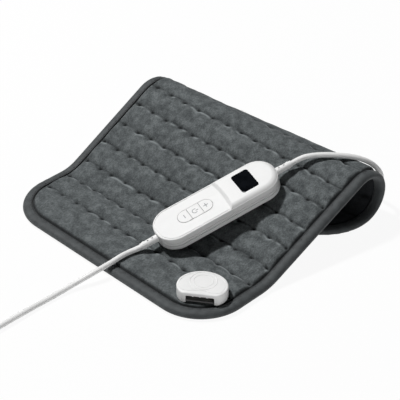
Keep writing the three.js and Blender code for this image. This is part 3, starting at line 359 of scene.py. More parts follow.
coil_line = [coil_point(i / coil_steps) for i in range(int(coil_turns * coil_steps) + 1)]
plug_from = coil_line[-1] + Vector((-coil_tail * MM, 0, 0))
mains_line = smooth_route(mains_places) + coil_line + [plug_from]
mains_lead = cord_piece("mains_lead", mains_line, cord_white)
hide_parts("mains_cord", "mains_cord_coil")

tie_thick, tie_width, tie_turn, tie_slack = 0.8, 4.0, 200, 0.6
tie_span = coil_outer - coil_inner + cord_diameter + tie_slack
tie_tall = coil_rise + cord_diameter + tie_slack
tie_inner = rounded_rectangle(tie_span, tie_tall, cord_radius)
tie_outer = rounded_rectangle(tie_span + 2 * tie_thick, tie_tall + 2 * tie_thick, cord_radius + tie_thick)
tie_section = ((1, -0.42), (1, 0.42), (0.7, 0.5), (0.3, 0.5), (0, 0.42), (0, -0.42), (0.3, -0.5), (0.7, -0.5))
tie_rings = [
    [(a + (c - a) * out, aside * tie_width, b + (d - b) * out) for out, aside in tie_section]
    for (a, b), (c, d) in zip(tie_inner, tie_outer)
]
tie_place = set_down(at(*coil_middle, 0), math.radians(tie_turn)) @ Matrix.Translation(
    ((coil_outer + coil_inner) / 2, 0, coil_low + coil_rise / 2)
)
cord_tie = fit(
    blank("lead_tie", tie_rings, True), tie_place, tie_black, "controller", ["cord_tie"],
)

plug_length, plug_start, plug_drop = 36.0, 22.6, -3.0
plug_front = plug_start + plug_length
plug_place = set_down(plug_from, math.pi)
grip_stations, grip_round, rib_depth = 61, 1.2, 0.35


def grip_rings(length, rear, front, lift, along_to_wide, along_to_full, ribs):
    """Rings of a moulded plug body that swells from its rear to its front, with grip ribs across it."""
    rib_from, rib_to, rib_count = ribs
    rings = []
    for share in np.linspace(0, 1, grip_stations):
        wide = rear[0] + (front[0] - rear[0]) * np.interp(share, *along_to_wide)
        full = rear[1] + (front[1] - rear[1]) * np.interp(share, *along_to_full)
        from_end = min(share, 1 - share) * length
        shrink = grip_round * (1 - math.sqrt(1 - (1 - min(from_end / grip_round, 1)) ** 2))
        if rib_from < share < rib_to:
            wave = 2 * math.pi * rib_count * (share - rib_from) / (rib_to - rib_from)
            shrink += rib_depth * (0.5 - 0.5 * math.cos(wave))
        outline = rounded_rectangle(wide - 2 * shrink, full - 2 * shrink, 0.32 * full - 0.5 * shrink)
        rings.append([(share * length, y, z + lift) for y, z in outline])
    return rings


plug_stations = (0, 0.3, 0.55, 0.8, 1)
plug_body = blank("mains_plug_body", [
    [(x + plug_start, y, z) for x, y, z in ring]
    for ring in grip_rings(
        plug_length, (13, 10.5), (26, 13.7), plug_drop,
        (plug_stations, (0, 0.23, 0.77, 1, 0.94)), (plug_stations, (0, 0.31, 1, 1, 0.9)), (0.1, 0.5, 7),
    )
])
pin_aside, pin_bore, pin_sleeve = 9.3, 2.3, 9.7
for side in (-pin_aside, pin_aside):
    bore = blank("pin_bore", turned([(plug_front - 9.5, pin_bore), (plug_front + 5, pin_bore)]))
    bore.data.transform(Matrix.Translation((0, side, plug_drop)))
    carve(plug_body, bore)
fit(plug_body, plug_place, plug_white, "controller", ["mains_plug"])

brass_pin = mottled(
    "pin_brass", (900, 4), (0.3, (0.58, 0.45, 0.22)), (0.7, (0.74, 0.62, 0.34)), (0.2, 0.38),
    {"Metallic": 1.0},
)
pin_profile = [
    (-9.2, 2.0), (0, 2.0), (9.6, 2.0), (9.9, 1.85), (16.8, 1.85), (18, 1.7), (18.7, 1.3), (19, 0.7),
]
for number, side in ((1, -pin_aside), (2, pin_aside)):
    pin = blank(f"mains_pin_{number}", turned(pin_profile))
    pin.data.transform(Matrix.Translation((plug_front, side, plug_drop)))
    fit(pin, plug_place, brass_pin, "controller", [f"plug_pin_{number}"])
    pin.data.materials.append(plug_white)
    for face in pin.data.polygons:
        along = (plug_from.x - face.center.x) / MM - plug_front
        face.material_index = 1 if along < pin_sleeve else 0

tail_length, tail_gap, tail_ribs = 22, 0.3, 6
tail_profile = [(0, 2.9), (0.25, 3.15), (0.8, 3.3)]
for rib in range(tail_ribs):
    rib_foot, rib_radius = 2.2 + 3.0 * rib, 3.3 + 0.16 * rib
    neck = rib_radius - 0.35
    tail_profile += [(rib_foot, rib_radius), (rib_foot + 0.35, neck), (rib_foot + 1.0, neck)]
    tail_profile.append((rib_foot + 1.35, rib_radius + 0.08))
tail_profile += [(20.6, 4.25), (21.7, 4.3), (tail_length, 4.1)]
mains_tail = blank("mains_plug_tail", turned([(x + tail_gap, r) for x, r in tail_profile]))
fit(mains_tail, plug_place, tail_white, "controller", ["mains_plug_relief"])

# Pad lead: the short white cord from the controller's display end, over the roll and down behind it.
# Its flat plug has a keyed tongue with four contact holes, and lies unplugged on the table.
plug_rest = at(-62, 296, 6)
pad_places = [cord_axis(cord_start), cord_axis(cord_start + cord_diameter)]
pad_places += [at(*p) for p in (
    (83.4, 217.6, 70.1), (87.2, 223.8, 71), (91.8, 229.9, 71.3), (97, 235.7, 71.4), (102.6, 241.6, 71.1),
    (109.4, 248.4, 70.4), (116.4, 255.6, 68.8), (123.6, 264, 65.2), (130, 272.6, 58.8), (133.8, 279.8, 50),
    (134.6, 285.4, 40.4), (132.2, 289.2, 30.8), (127, 292, 21.6), (119.5, 293.8, 13.4), (110.5, 294.9, 7.2),
    (99.5, 295.6, 3.8), (88, 295.8, 2.9), (72, 296, 2.8), (52, 296.4, 2.8), (30, 296.6, 2.8),
    (8, 296.4, 2.9), (-12, 296.1, 3.6), (-26, 296, 5.2), (-33.9, 296, 6), (-39.4, 296, 6),
)]
pad_line = smooth_route(pad_places)
pad_lead = cord_piece("pad_lead", pad_line, cord_white)
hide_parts("pad_cord")

pad_plug_place = set_down(plug_rest, math.pi)
pad_plug_length, tongue_reach, tongue_wide, tongue_thick = 30.0, 12.0, 27.8, 5.8
tongue_tip = pad_plug_length + tongue_reach
key_places, contact_places = (-7, 0, 7), (-8.4, -2.8, 2.8, 8.4)
pad_plug_stations = (0, 0.35, 0.7, 1)
pad_plug = blank("pad_plug_body", grip_rings(
    pad_plug_length, (18, 9.5), (33, 12), 0,
    (pad_plug_stations, (0, 0.67, 1, 1)), (pad_plug_stations, (0, 0.68, 1, 1)), (0.15, 0.6, 6),
))
cut(pad_plug, "tongue", [
    [(x, y, z) for y, z in rounded_rectangle(tongue_wide - 2 * inset, tongue_thick - 2 * inset, 0.7, 4)]
    for x, inset in ((pad_plug_length - 6, 0), (tongue_tip - 0.6, 0), (tongue_tip, 0.5))
], "UNION")
for y in key_places:
    cut(pad_plug, "keyway", [
        [(x, y + a, tongue_thick / 2 + b) for a, b in rounded_rectangle(2.4, 2.6, 0.3, 2)]
        for x in (pad_plug_length + 0.3, tongue_tip + 3)
    ])
for y in contact_places:
    cut(pad_plug, "contact_hole", [
        [(x, y + a, b) for a, b in rounded_rectangle(2.2, 2.2, 0.25, 2)]
        for x in (pad_plug_length + 3, tongue_tip + 3)
    ])
fit(pad_plug, pad_plug_place, plug_white, "controller", ["pad_plug"])
pad_tail = blank("pad_plug_tail", turned([(x - tail_length - tail_gap, r) for x, r in tail_profile]))
fit(pad_tail, pad_plug_place, tail_white, "controller", ["pad_plug_relief"])

# Lower cover: the same dark plush on the pad's underside, which shows inside the roll, given a much darker
# copy of its colours as painted shade. The quilting seams that hold the wire's channels draw shallow grooves
# across it, darkened with painted shade.
pad_width, pad_length, pad_corner = 300.0, 400.0, 54.0
core_height, crown_height = 4.1, 10.8
seam_edge, cover_run = 11.0, 6.0
first_seam, seam_pitch, seam_count, seam_bow = 53.0, 29.0, 11, 1.5
last_seam = first_seam + seam_pitch * (seam_count - 1)
tack_limit, tack_pitch = 137, 20.6
cover_inset, cover_gap = 2.8, 0.15


def along_run(distance, length, turn, y, z, heading):
    """Where a run of the pad's edge gets to after a distance: along, up and its heading."""
    if turn == 0:
        return y + distance * math.cos(heading), z + distance * math.sin(heading), heading + 0 * distance
    bend = turn / length
    reached = heading + bend * distance
    return (
        y + (np.sin(reached) - math.sin(heading)) / bend,
        z - (np.cos(reached) - math.cos(heading)) / bend,
        reached,
    )


def lay_edge(flat, bend, slope, upper, lower):
    """The flat, bend, ramp and roll of one long edge of the pad."""
    angle = math.radians(slope)
    climb = upper * math.cos(angle) + lower - bend * (1 - math.cos(angle)) + crown_height - 2 * core_height
    runs, y, z, heading, start = [], 0.0, core_height, 0.0, 0.0
    for length, turn in (
        (flat, 0), (bend * angle, angle), (climb / math.sin(angle), 0),
        (upper * (angle + math.pi / 2), -angle - math.pi / 2), (lower * math.pi / 2, -math.pi / 2),
        (pad_length, 0),
    ):
        runs.append((start, length, turn, y, z, heading))
        y, z, heading = (float(v) for v in along_run(length, length, turn, y, z, heading))
        start += length
    return runs


right_edge = lay_edge(85, 62, 22, 28, 27)
left_edge = lay_edge(82, 49, 27.3, 30.5, 28)


def edge_line(runs, s):
    """Along, up and heading of an edge at distances along the cloth."""
    found = np.zeros((3, *s.shape))
    for start, length, turn, y, z, heading in runs:
        here = s >= start if start > 0 else np.ones(s.shape, bool)
        found[:, here] = along_run(s[here] - start, length, turn, y, z, heading)
    return found


def on_pad(x, s, h):
    """Points of the pad in metres: x across, s along the cloth from the near edge, h above its underside."""
    share = x / pad_width + 0.5
    y, z, heading = edge_line(left_edge, s) * (1 - share) + edge_line(right_edge, s) * share
    off = h - core_height
    points = np.stack([x, y - np.sin(heading) * off, z + np.cos(heading) * off], -1) * MM
    points[..., 1] += near_edge
    return points


def edge_distance(x, s):
    """Distance inwards from the pad's cut outline."""
    qx = np.abs(x) - (pad_width / 2 - pad_corner)
    qs = np.abs(s - pad_length / 2) - (pad_length / 2 - pad_corner)
    return pad_corner - np.hypot(np.maximum(qx, 0), np.maximum(qs, 0)) - np.minimum(np.maximum(qx, qs), 0)


def half_width(s, inset):
    """Half the pad's width at places along it, for an outline drawn in by an inset."""
    radius = pad_corner - inset
    missing = radius - np.clip(np.minimum(s, pad_length - s) - inset, 0, radius)
    return pad_width / 2 - pad_corner + np.sqrt(radius**2 - missing**2)


def drift(x, y, size, seed):
    """A smooth random field from -1 to 1 whose swells are about a size across."""
    u, v = x / size + 37.2 * seed, y / size + 11.7 * seed
    iu, iv = np.floor(u), np.floor(v)
    fu, fv = ease(u - iu, 0, 1), ease(v - iv, 0, 1)

    def chance(a, b):
        spun = np.sin(a * 127.1 + b * 311.7 + seed * 74.7) * 43758.5453
        return 2 * (spun - np.floor(spun)) - 1

    near = chance(iu, iv) * (1 - fu) + chance(iu + 1, iv) * fu
    far = chance(iu, iv + 1) * (1 - fu) + chance(iu + 1, iv + 1) * fu
    return near * (1 - fv) + far * fv


dice = np.random.default_rng(26)
seam_tacks = []
for k in range(seam_count):
    tack_x = np.arange(-tack_limit + dice.uniform(0, 9), tack_limit, tack_pitch)
    tack_x = tack_x + dice.uniform(-1.8, 1.8, len(tack_x))
    tack_s = first_seam + seam_pitch * k + dice.uniform(-0.8, 0.8, len(tack_x))
    seam_tacks.append((tack_x, tack_s))


def quilting(x, s):
    """Distance past the nearest seam, distance along it to the nearest tack, and its channel's half width.

    A seam runs from tack to tack in shallow scallops, because the nearer channel bulges over it.
    """
    past_seam = np.full(x.shape, 1e3)
    to_tack = np.full(x.shape, 1e3)
    for tack_x, tack_s in seam_tacks:
        before = np.clip(np.searchsorted(tack_x, x) - 1, 0, len(tack_x) - 2)
        share = np.clip((x - tack_x[before]) / (tack_x[before + 1] - tack_x[before]), 0, 1)
        gap = s - np.interp(x, tack_x, tack_s) - seam_bow * np.sin(math.pi * share) ** 0.8
        along = np.abs(x[..., None] - tack_x).min(-1)
        closer = np.abs(gap) < np.abs(past_seam)
        past_seam = np.where(closer, gap, past_seam)
        to_tack = np.where(closer, along, to_tack)
    margin = (s < first_seam) | (s > last_seam)
    return past_seam, to_tack, np.where(margin, seam_pitch, seam_pitch / 2)


def cloth_grid(shares, rows, inset):
    """Places across and along of a grid that fills the pad's outline, drawn in by an inset.

    The shares run from -1 at the left edge to 1 at the right.
    """
    s = np.asarray(rows)[:, None] * np.ones(len(shares))
    x = np.asarray(shares)[None, :] * half_width(s, inset)
    return x, s


def slab(name, low, high):
    """A closed slab between two grids of points."""
    count, width = low.shape[:2]
    index = np.arange(count * width).reshape(count, width)
    quads = np.stack([index[:-1, :-1], index[:-1, 1:], index[1:, 1:], index[1:, :-1]], -1).reshape(-1, 4)
    rim = np.concatenate([index[0, :], index[1:, -1], index[-1, -2::-1], index[-2:0:-1, 0]])
    after = np.roll(rim, -1)
    upper = count * width
    walls = np.stack([rim, after, after + upper, rim + upper], -1)
    faces = np.concatenate([quads[:, ::-1], quads + upper, walls])
    points = np.concatenate([low.reshape(-1, 3), high.reshape(-1, 3)])
    mesh = bpy.data.meshes.new(name)
    mesh.from_pydata(points.tolist(), [], faces.tolist())
    return new_object(name, mesh)


def note(body, name, values):
    """Keeps a number for each point of a mesh, for its material to read."""
    layer = body.data.attributes.new(name, "FLOAT", "POINT")
    layer.data.foreach_set("value", np.asarray(values, np.float32).ravel())


def plush(name, dark, mid, light, sheen):
    """Short crushed plush: pile in soft strokes of light and dark.

    It is darker down in the seams by painted shade, and paler on a rim beside them by a painted highlight,
    both read from mesh attributes.
    """
    made, tree, shader, coords = start_material(name)
    stretch = {"Vector": coords, "Scale": (1.0, 0.6, 0.8)}
    brushed = add_node(tree, "ShaderNodeMapping", stretch).outputs["Vector"]
    patches, strokes = noise_on(tree, coords, 120, 5), noise_on(tree, brushed, 760, 6)
    even = add_node(tree, "ShaderNodeMix", {"Factor": 0.5, "A": patches, "B": strokes}).outputs["Result"]
    pile = tint(tree, even, (0.36, dark), (0.5, mid), (0.64, light))
    # Painted light: one mark lays painted shade into the seams, the other a painted highlight beside them.
    for mark, tone in (("painted_shade", [0.12 * c for c in dark]), ("painted_highlight", [1.9 * c for c in light])):
        share = add_node(tree, "ShaderNodeAttribute", {}, attribute_name=mark).outputs["Fac"]
        pile = overlay(tree, share, pile, tone)
    feed(tree, shader, {
        "Base Color": pile, "Roughness": 0.92, "Specular IOR Level": 0.2, "Sheen Weight": sheen,
        "Sheen Roughness": 0.45, "Sheen Tint": (0.75, 0.77, 0.8, 1),
    })
    relief_bump(tree, shader, noise_on(tree, brushed, 1500, 3), 0.4, 0.0006)
    return made


plush_under_painted_shade = plush(
    "plush_underside_painted_shade", (0.016, 0.018, 0.02), (0.025, 0.027, 0.03), (0.036, 0.039, 0.043), 0.05,
)
groove_depth, groove_reach, groove_tack = 0.9, 2.4, 4.5
under_edge_low, under_thick = 1.5, 2.4
under_rows = np.linspace(cover_inset, pad_length - cover_inset, 190)
ux, us = cloth_grid(np.linspace(-1, 1, 110), under_rows, cover_inset)
under_open = ease(edge_distance(ux, us), seam_edge, seam_edge + cover_run)
past_seam, to_tack, channel = quilting(ux, us)
tacked = np.exp(-(to_tack / groove_tack) ** 2)
groove = np.exp(-(past_seam / groove_reach) ** 2)
sunk = groove_depth * groove * (0.55 + 0.45 * tacked) + 0.14 * (1 + drift(ux, us, 17, 3))
under_low = under_edge_low * (1 - under_open) + sunk * under_open
under_high = (core_height - cover_gap) * (1 - under_open) + under_thick * under_open
pad_under = slab("pad_underside", on_pad(ux, us, under_low), on_pad(ux, us, under_high))
# Painted shade: the grooves, most of all at the tacks, are darkened in the colour by this mark.
note(pad_under, "painted_shade", np.concatenate([(groove * (0.35 + 0.6 * tacked)).ravel(), np.zeros(ux.size)]))
fit(pad_under, Matrix(), plush_under_painted_shade, "pad", ["cover_bottom"], 80)

# Wire carrier and heating wire: a felt sheet with the sleeved wire laid to and fro on it, sewn in
# between the covers and never seen. They keep their CAD solids.
felt_cream = mottled(
    "felt_cream", (700, 5), (0.3, (0.5, 0.47, 0.4)), (0.7, (0.66, 0.63, 0.55)), None, {"Roughness": 0.95},
    (0.5, 0.0004),
)


def dress(finish, *names):
    """Gives CAD nodes a finish."""
    for name in names:
        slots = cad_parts[name].data.materials
        slots.clear()
        slots.append(finish)


dress(felt_cream, "wire_carrier")
dress(moulded("wire_sleeve", (0.52, 0.42, 0.26), 0.5, 0.3), "heating_wire")

# Upper cover: dark charcoal plush over a soft filling, quilted by cross seams whose tacks sink into
# small pits. The filling swells between the seams, and the cover is pressed thin under the binding.
plush_charcoal = plush(
    "plush_charcoal", (0.052, 0.059, 0.061), (0.095, 0.105, 0.108), (0.156, 0.172, 0.175), 0.2,
)
fine_row, plain_row, fine_by_seam, fine_by_edge = 0.8, 2.3, 3.4, 20
top_rows = [cover_inset]
while top_rows[-1] < pad_length - cover_inset - 1.2:
    reach = min(abs(top_rows[-1] + 1 - first_seam - seam_pitch * k) for k in range(seam_count))
    fine = reach < fine_by_seam or top_rows[-1] < fine_by_edge
    top_rows.append(top_rows[-1] + (fine_row if fine else plain_row))
top_rows[-1] = pad_length - cover_inset
margin_share = 0.86
top_margin = np.linspace(margin_share, 1, 26)
top_middle = np.linspace(-margin_share, margin_share, 140)[1:-1]
tx, ts = cloth_grid(np.concatenate([-top_margin[::-1], top_middle, top_margin]), top_rows, cover_inset)

bulge_run, crown_run, roll_start = 1.8, 3.6, 280
pressed_height, open_height, least_height, lining_height = 6.7, 7.8, 6.6, 5.9
swell, crease_depth, dimple_depth, pit_depth = 3.0, 0.7, 1.0, 0.9
crease_reach, dimple_along, dimple_across, pit_along, pit_across = 1.2, 4.8, 6.5, 2.1, 1.9
top_edge = edge_distance(tx, ts)
top_open = ease(top_edge, seam_edge, seam_edge + bulge_run)
top_crown = ease(top_edge, seam_edge, seam_edge + crown_run)
past_seam, to_tack, channel = quilting(tx, ts)
across = np.minimum(np.abs(past_seam) / channel, 1)
fullness = np.sin(across * math.pi / 2) ** np.where(past_seam < 0, 0.42, 0.62)
crease = np.exp(-(past_seam / crease_reach) ** 2)
dimple = np.exp(-(to_tack / dimple_along) ** 2 - (past_seam / dimple_across) ** 2)
pit = np.exp(-(to_tack / pit_along) ** 2 - (past_seam / pit_across) ** 2)
unevenness = 0.4 * drift(tx, ts, 31, 1) + 0.28 * drift(tx, 0.6 * ts, 11, 2)
gathers = 0.5 * drift(tx, 0.3 * ts, 4.2, 6) * np.exp(-np.abs(past_seam) / 5)
drawn_in = crease_depth * crease + dimple_depth * dimple + pit_depth * pit
top_high = pressed_height * (1 - top_open) + open_height * top_open + swell * fullness * top_crown
top_high += ((unevenness + gathers) * fullness - drawn_in) * top_crown
top_high = np.maximum(top_high, least_height)
top_high = np.minimum(top_high, np.where(ts > roll_start, crown_height, crown_height + 0.5))
top_low = (core_height + cover_gap) * (1 - top_open) + lining_height * top_open

socket_turn = math.radians(34.7)
socket_middle = (122.2, 25.8)
socket_width, socket_depth, socket_shoulder, slot_width, socket_wall = 51.0, 37.0, 15.0, 28.4, 1.8
socket_reach, socket_seat = 48, 8.4


def bezier(a, b, c, d, steps):
    """Points along a curve from a to d, drawn towards b and c, without the last."""
    return [
        tuple((1 - t) ** 3 * p + 3 * (1 - t) ** 2 * t * q + 3 * (1 - t) * t**2 * u + t**3 * v
              for p, q, u, v in zip(a, b, c, d))
        for t in np.arange(steps) / steps
    ]


def socket_outline(inset, steps=12):
    """The socket's shell-shaped outline, drawn in by an inset."""
    half = socket_width / 2 - inset
    front = slot_width / 2 + socket_wall - inset / 2
    back = socket_depth - socket_shoulder - inset
    flank, flare = socket_shoulder * 0.4, front + socket_shoulder * 0.2
    round_back = np.arange(4 * steps) * math.pi / (4 * steps)
    points = [(half * math.cos(a), socket_shoulder + back * math.sin(a)) for a in round_back]
    points += bezier((-half, socket_shoulder), (-half, flank), (-flare, inset), (-front, inset), steps)
    points += [(-front + 2 * front * i / steps, inset) for i in range(steps)]
    points += bezier((front, inset), (flare, inset), (half, flank), (half, socket_shoulder), steps)
    return points


def outline_distance(x, y, outline):
    """Distance outside a closed outline, negative inside it."""
    loop = np.array(outline)
    ahead = np.roll(loop, -1, 0)
    span = ahead - loop
    place = np.stack([x, y], -1)[..., None, :]
    share = np.clip(((place - loop) * span).sum(-1) / (span**2).sum(-1), 0, 1)
    gap = np.linalg.norm(place - loop - share[..., None] * span, axis=-1).min(-1)
    above = (loop[:, 1] > place[..., 1]) != (ahead[:, 1] > place[..., 1])
    run = np.where(span[:, 1] == 0, 1e-9, span[:, 1])
    crossing = loop[:, 0] + span[:, 0] * (place[..., 1] - loop[:, 1]) / run
    inside = (above & (place[..., 0] < crossing)).sum(-1) % 2 == 1
    return np.where(inside, -gap, gap)


near_socket = np.hypot(tx - socket_middle[0], ts - socket_middle[1] - socket_shoulder) < socket_reach
px, py = tx[near_socket] - socket_middle[0], ts[near_socket] - socket_middle[1]
local_x = px * math.cos(socket_turn) + py * math.sin(socket_turn)
local_y = py * math.cos(socket_turn) - px * math.sin(socket_turn)
beside = outline_distance(local_x, local_y, socket_outline(0))
pressed = socket_seat + (crown_height - socket_seat) * ease(beside, 0.6, 4.2)
top_high[near_socket] = np.minimum(top_high[near_socket], pressed)

top_points = on_pad(tx, ts, top_high)
cord_clear = 0.2 * MM
for p in mains_line:
    if p.y <= near_edge:
        continue
    aside = np.hypot(top_points[..., 0] - p[0], top_points[..., 1] - p[1])
    beneath = aside < cord_radius * MM
    under = p[2] - np.sqrt((cord_radius * MM) ** 2 - aside[beneath] ** 2) - cord_clear
    top_points[beneath, 2] = np.minimum(top_points[beneath, 2], under)

pad_upper = slab("pad_upper_cover", on_pad(tx, ts, top_low), top_points)
# Painted shade darkens the pits, the creases and the gap where the plush meets the binding; a painted
# highlight lightens a rim on the near side of each seam, in random patches.
shade_strength = 0.5 + 0.5 * drift(tx, ts, 9, 4)
highlight_patches = ease(drift(tx, ts, 6, 5), 0.0, 0.6)
seam_painted_shade = pit + crease * (0.04 + 0.4 * shade_strength) + 0.14 * np.exp(-((past_seam / 4.5) ** 2))
seam_painted_shade = np.clip(seam_painted_shade, 0, 1) * top_crown
seam_painted_shade = np.maximum(seam_painted_shade, 0.95 * np.exp(-((top_edge - seam_edge - 0.8) / 1.2) ** 2))
seam_painted_highlight = 0.65 * highlight_patches * np.exp(-((past_seam + 2.4) / 1.2) ** 2) * top_crown
note(pad_upper, "painted_shade", np.concatenate([np.zeros(tx.size), seam_painted_shade.ravel()]))
note(pad_upper, "painted_highlight", np.concatenate([np.zeros(tx.size), seam_painted_highlight.ravel()]))
fit(pad_upper, Matrix(), plush_charcoal, "pad", ["cover_top"], 80)

# Edge binding: a woven tape folded over both covers all round and sewn through, smoother than the
# plush. Its stitches run just inside its edge, above and below.
tape_woven, tree, shader, coords = start_material("tape_woven")
tape_uv = add_node(tree, "ShaderNodeUVMap", {}, uv_map="tape").outputs["UV"]
twill = add_node(
    tree, "ShaderNodeTexWave", {"Vector": tape_uv, "Scale": 420, "Distortion": 0.6, "Detail": 1.0},
    wave_type="BANDS", bands_direction="DIAGONAL",
).outputs["Fac"]
tape_mix = add_node(
    tree, "ShaderNodeMath", {0: twill, 1: 0.25, 2: noise_on(tree, coords, 130, 3)}, operation="MULTIPLY_ADD",
).outputs[0]
tape_tone = tint(tree, tape_mix, (0.4, (0.032, 0.036, 0.038)), (0.8, (0.058, 0.066, 0.069)))
# Painted shade: the tape's inner edge, where it meets the plush, is darkened nearly to black.
tape_across = add_node(tree, "ShaderNodeSeparateXYZ", {"Vector": tape_uv}).outputs["Y"]
tape_edge_painted_shade = add_node(
    tree, "ShaderNodeMapRange", {"Value": tape_across, "From Min": 2.8 * MM, "From Max": 1.4 * MM},
).outputs["Result"]
feed(tree, shader, {
    "Base Color": overlay(tree, tape_edge_painted_shade, tape_tone, (0.008, 0.009, 0.01)),
    "Roughness": 0.7, "Sheen Weight": 0.15,
})
relief_bump(tree, shader, twill, 0.25, 0.0003)

outline_steps = 420
straight_x, straight_s = pad_width - 2 * pad_corner, pad_length - 2 * pad_corner
quarter = pad_corner * math.pi / 2
round_length = 2 * (straight_x + straight_s) + 4 * quarter
corner_signs = ((1, -1), (1, 1), (-1, 1), (-1, -1))
tape_place, tape_inwards = np.zeros((outline_steps, 2)), np.zeros((outline_steps, 2))
for i in range(outline_steps):
    travel = round_length * i / outline_steps
    for side, (a, b) in enumerate(corner_signs):
        run = straight_s if side % 2 else straight_x
        if travel <= run + quarter:
            break
        travel -= run + quarter
    heading = side * math.pi / 2
    onward = np.array((math.cos(heading), math.sin(heading)))
    outward = np.array((math.sin(heading), -math.cos(heading)))
    bend = max(travel - run, 0) / pad_corner
    out = outward * math.cos(bend) + onward * math.sin(bend)
    corner_middle = np.array((a * straight_x / 2, pad_length / 2 + b * straight_s / 2))
    tape_place[i] = corner_middle + pad_corner * out + min(travel - run, 0) * onward
    tape_inwards[i] = -out

tape_outside = [
    (10.6, 6.75), (10.5, 7.5), (9.9, 7.95), (8.8, 8.1), (7.2, 8.35), (5.4, 8.4), (3.6, 8.15), (2.1, 7.5),
    (1.0, 6.6), (0.3, 5.4), (0.0, core_height), (0.3, 2.8), (1.0, 1.6), (2.1, 0.75), (3.6, 0.3), (5.4, 0.15),
    (7.2, 0.15), (8.8, 0.3), (9.9, 0.4), (10.5, 0.75), (10.6, 1.45),
]
tape_inside = [(9.8, 1.35), (2.4, 1.35), (2.4, 6.85), (9.8, 6.85)]
tape_section = np.array(tape_outside + tape_inside)
station = np.arange(outline_steps)
pucker_height, pucker_above, pucker_within = 0.22, 6.9, 9
pucker = pucker_height * np.sin(station * 1.9) * (1 + 0.6 * np.sin(station * 0.37))
outer = np.arange(len(tape_section)) < len(tape_outside)
puckered = outer & (tape_section[:, 1] > pucker_above) & (tape_section[:, 0] < pucker_within)
bx = tape_place[:, :1] + tape_inwards[:, :1] * tape_section[None, :, 0]
bs = tape_place[:, 1:] + tape_inwards[:, 1:] * tape_section[None, :, 0]
bh = tape_section[None, :, 1] + pucker[:, None] * puckered[None, :]
binding = blank("pad_binding", on_pad(bx, bs, bh), True)
tape_map = binding.data.uv_layers.new(name="tape")
section_run = np.concatenate([[0], np.cumsum(np.linalg.norm(np.diff(tape_section, axis=0), axis=1))]) * MM
for face in binding.data.polygons:
    last_lap = face.index >= (outline_steps - 1) * len(tape_section)
    for loop in face.loop_indices:
        ring, corner = divmod(binding.data.loops[loop].vertex_index, len(tape_section))
        lap = outline_steps if ring == 0 and last_lap else ring
        tape_map.data[loop].uv = (round_length * MM * lap / outline_steps, section_run[corner])
fit(binding, Matrix(), tape_woven, "pad", ["edge_binding"], 60)

seam_thread = mottled(
    "seam_thread", (3000, 2), (0.3, (0.045, 0.048, 0.052)), (0.7, (0.085, 0.089, 0.094)), None,
    {"Roughness": 0.6, "Sheen Weight": 0.1},
)
stitch_row = bpy.data.node_groups.new("stitch_row", "GeometryNodeTree")
stitch_row.interface.new_socket("Seam", in_out="INPUT", socket_type="NodeSocketGeometry")
stitch_sizes = {}
for label, size in (("Stitch pitch", 4.2), ("Stitch length", 3.1), ("Thread width", 0.6)):
    socket = stitch_row.interface.new_socket(label, in_out="INPUT", socket_type="NodeSocketFloat")
    stitch_sizes[socket.identifier] = size * MM
stitch_row.interface.new_socket("Stitches", in_out="OUTPUT", socket_type="NodeSocketGeometry")
given = add_node(stitch_row, "NodeGroupInput", {}).outputs
spaced = add_node(
    stitch_row, "GeometryNodeResampleCurve", {"Curve": given["Seam"], "Length": given["Stitch pitch"]},
    mode="LENGTH",
)
tangent = add_node(stitch_row, "GeometryNodeInputTangent", {}).outputs["Tangent"]
aligned = add_node(stitch_row, "FunctionNodeAlignRotationToVector", {"Vector": tangent}, axis="X")
thread = add_node(stitch_row, "GeometryNodeMeshUVSphere", {"Segments": 8, "Rings": 5, "Radius": 0.5})
sized = add_node(stitch_row, "ShaderNodeCombineXYZ", {
    "X": given["Stitch length"], "Y": given["Thread width"], "Z": given["Thread width"],
})
scattered = add_node(stitch_row, "GeometryNodeInstanceOnPoints", {
    "Points": spaced.outputs["Curve"], "Instance": thread.outputs["Mesh"],
    "Rotation": aligned.outputs["Rotation"], "Scale": sized.outputs["Vector"],
})
real = add_node(stitch_row, "GeometryNodeRealizeInstances", {"Geometry": scattered.outputs["Instances"]})
rounded = add_node(stitch_row, "GeometryNodeSetShadeSmooth", {"Geometry": real.outputs["Geometry"]})
coloured = add_node(
    stitch_row, "GeometryNodeSetMaterial", {"Geometry": rounded.outputs["Geometry"], "Material": seam_thread},
)
add_node(stitch_row, "NodeGroupOutput", {"Stitches": coloured.outputs["Geometry"]})

stitch_inset, stitch_heights = 8.3, (8.25, 0.4)
stitch_curve = bpy.data.curves.new("binding_stitches", "CURVE")
stitch_curve.dimensions = "3D"
stitch_line = tape_place + tape_inwards * stitch_inset
for height in stitch_heights:
    row = on_pad(stitch_line[:, 0], stitch_line[:, 1], np.full(outline_steps, height))
    spline = stitch_curve.splines.new("POLY")
    spline.points.add(outline_steps - 1)
    spline.points.foreach_set("co", np.c_[row, np.ones(outline_steps)].ravel())
    spline.use_cyclic_u = True
stitch_path = new_object("binding_stitches_path", stitch_curve)
stitcher = stitch_path.modifiers.new("stitches", "NODES")
stitcher.node_group = stitch_row
for identifier, size in stitch_sizes.items():
    stitcher[identifier] = size
bpy.context.view_layer.update()
sewn = stitch_path.evaluated_get(bpy.context.evaluated_depsgraph_get())
stitch_mesh = bpy.data.meshes.new_from_object(sewn)
bpy.data.objects.remove(stitch_path)
binding_stitches = new_object("binding_stitches", stitch_mesh)
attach(binding_stitches, "pad")

# Pad socket: a white moulded shell screwed through the cover to a clamp plate. Its roof has two raised
# rings and a rim, and its front an open slot with three key ribs for the plug of the short lead.
socket_white = moulded("socket_white", (0.9, 0.9, 0.895), 0.4)
socket_place = set_down(at(*socket_middle, 0), socket_turn)
socket_base, socket_top, slot_floor, slot_top = 8.9, 20.9, 11.0, 17.4
roof_round, ring_middle, ring_radii = 1.5, 20.6, (9.6, 13.4)


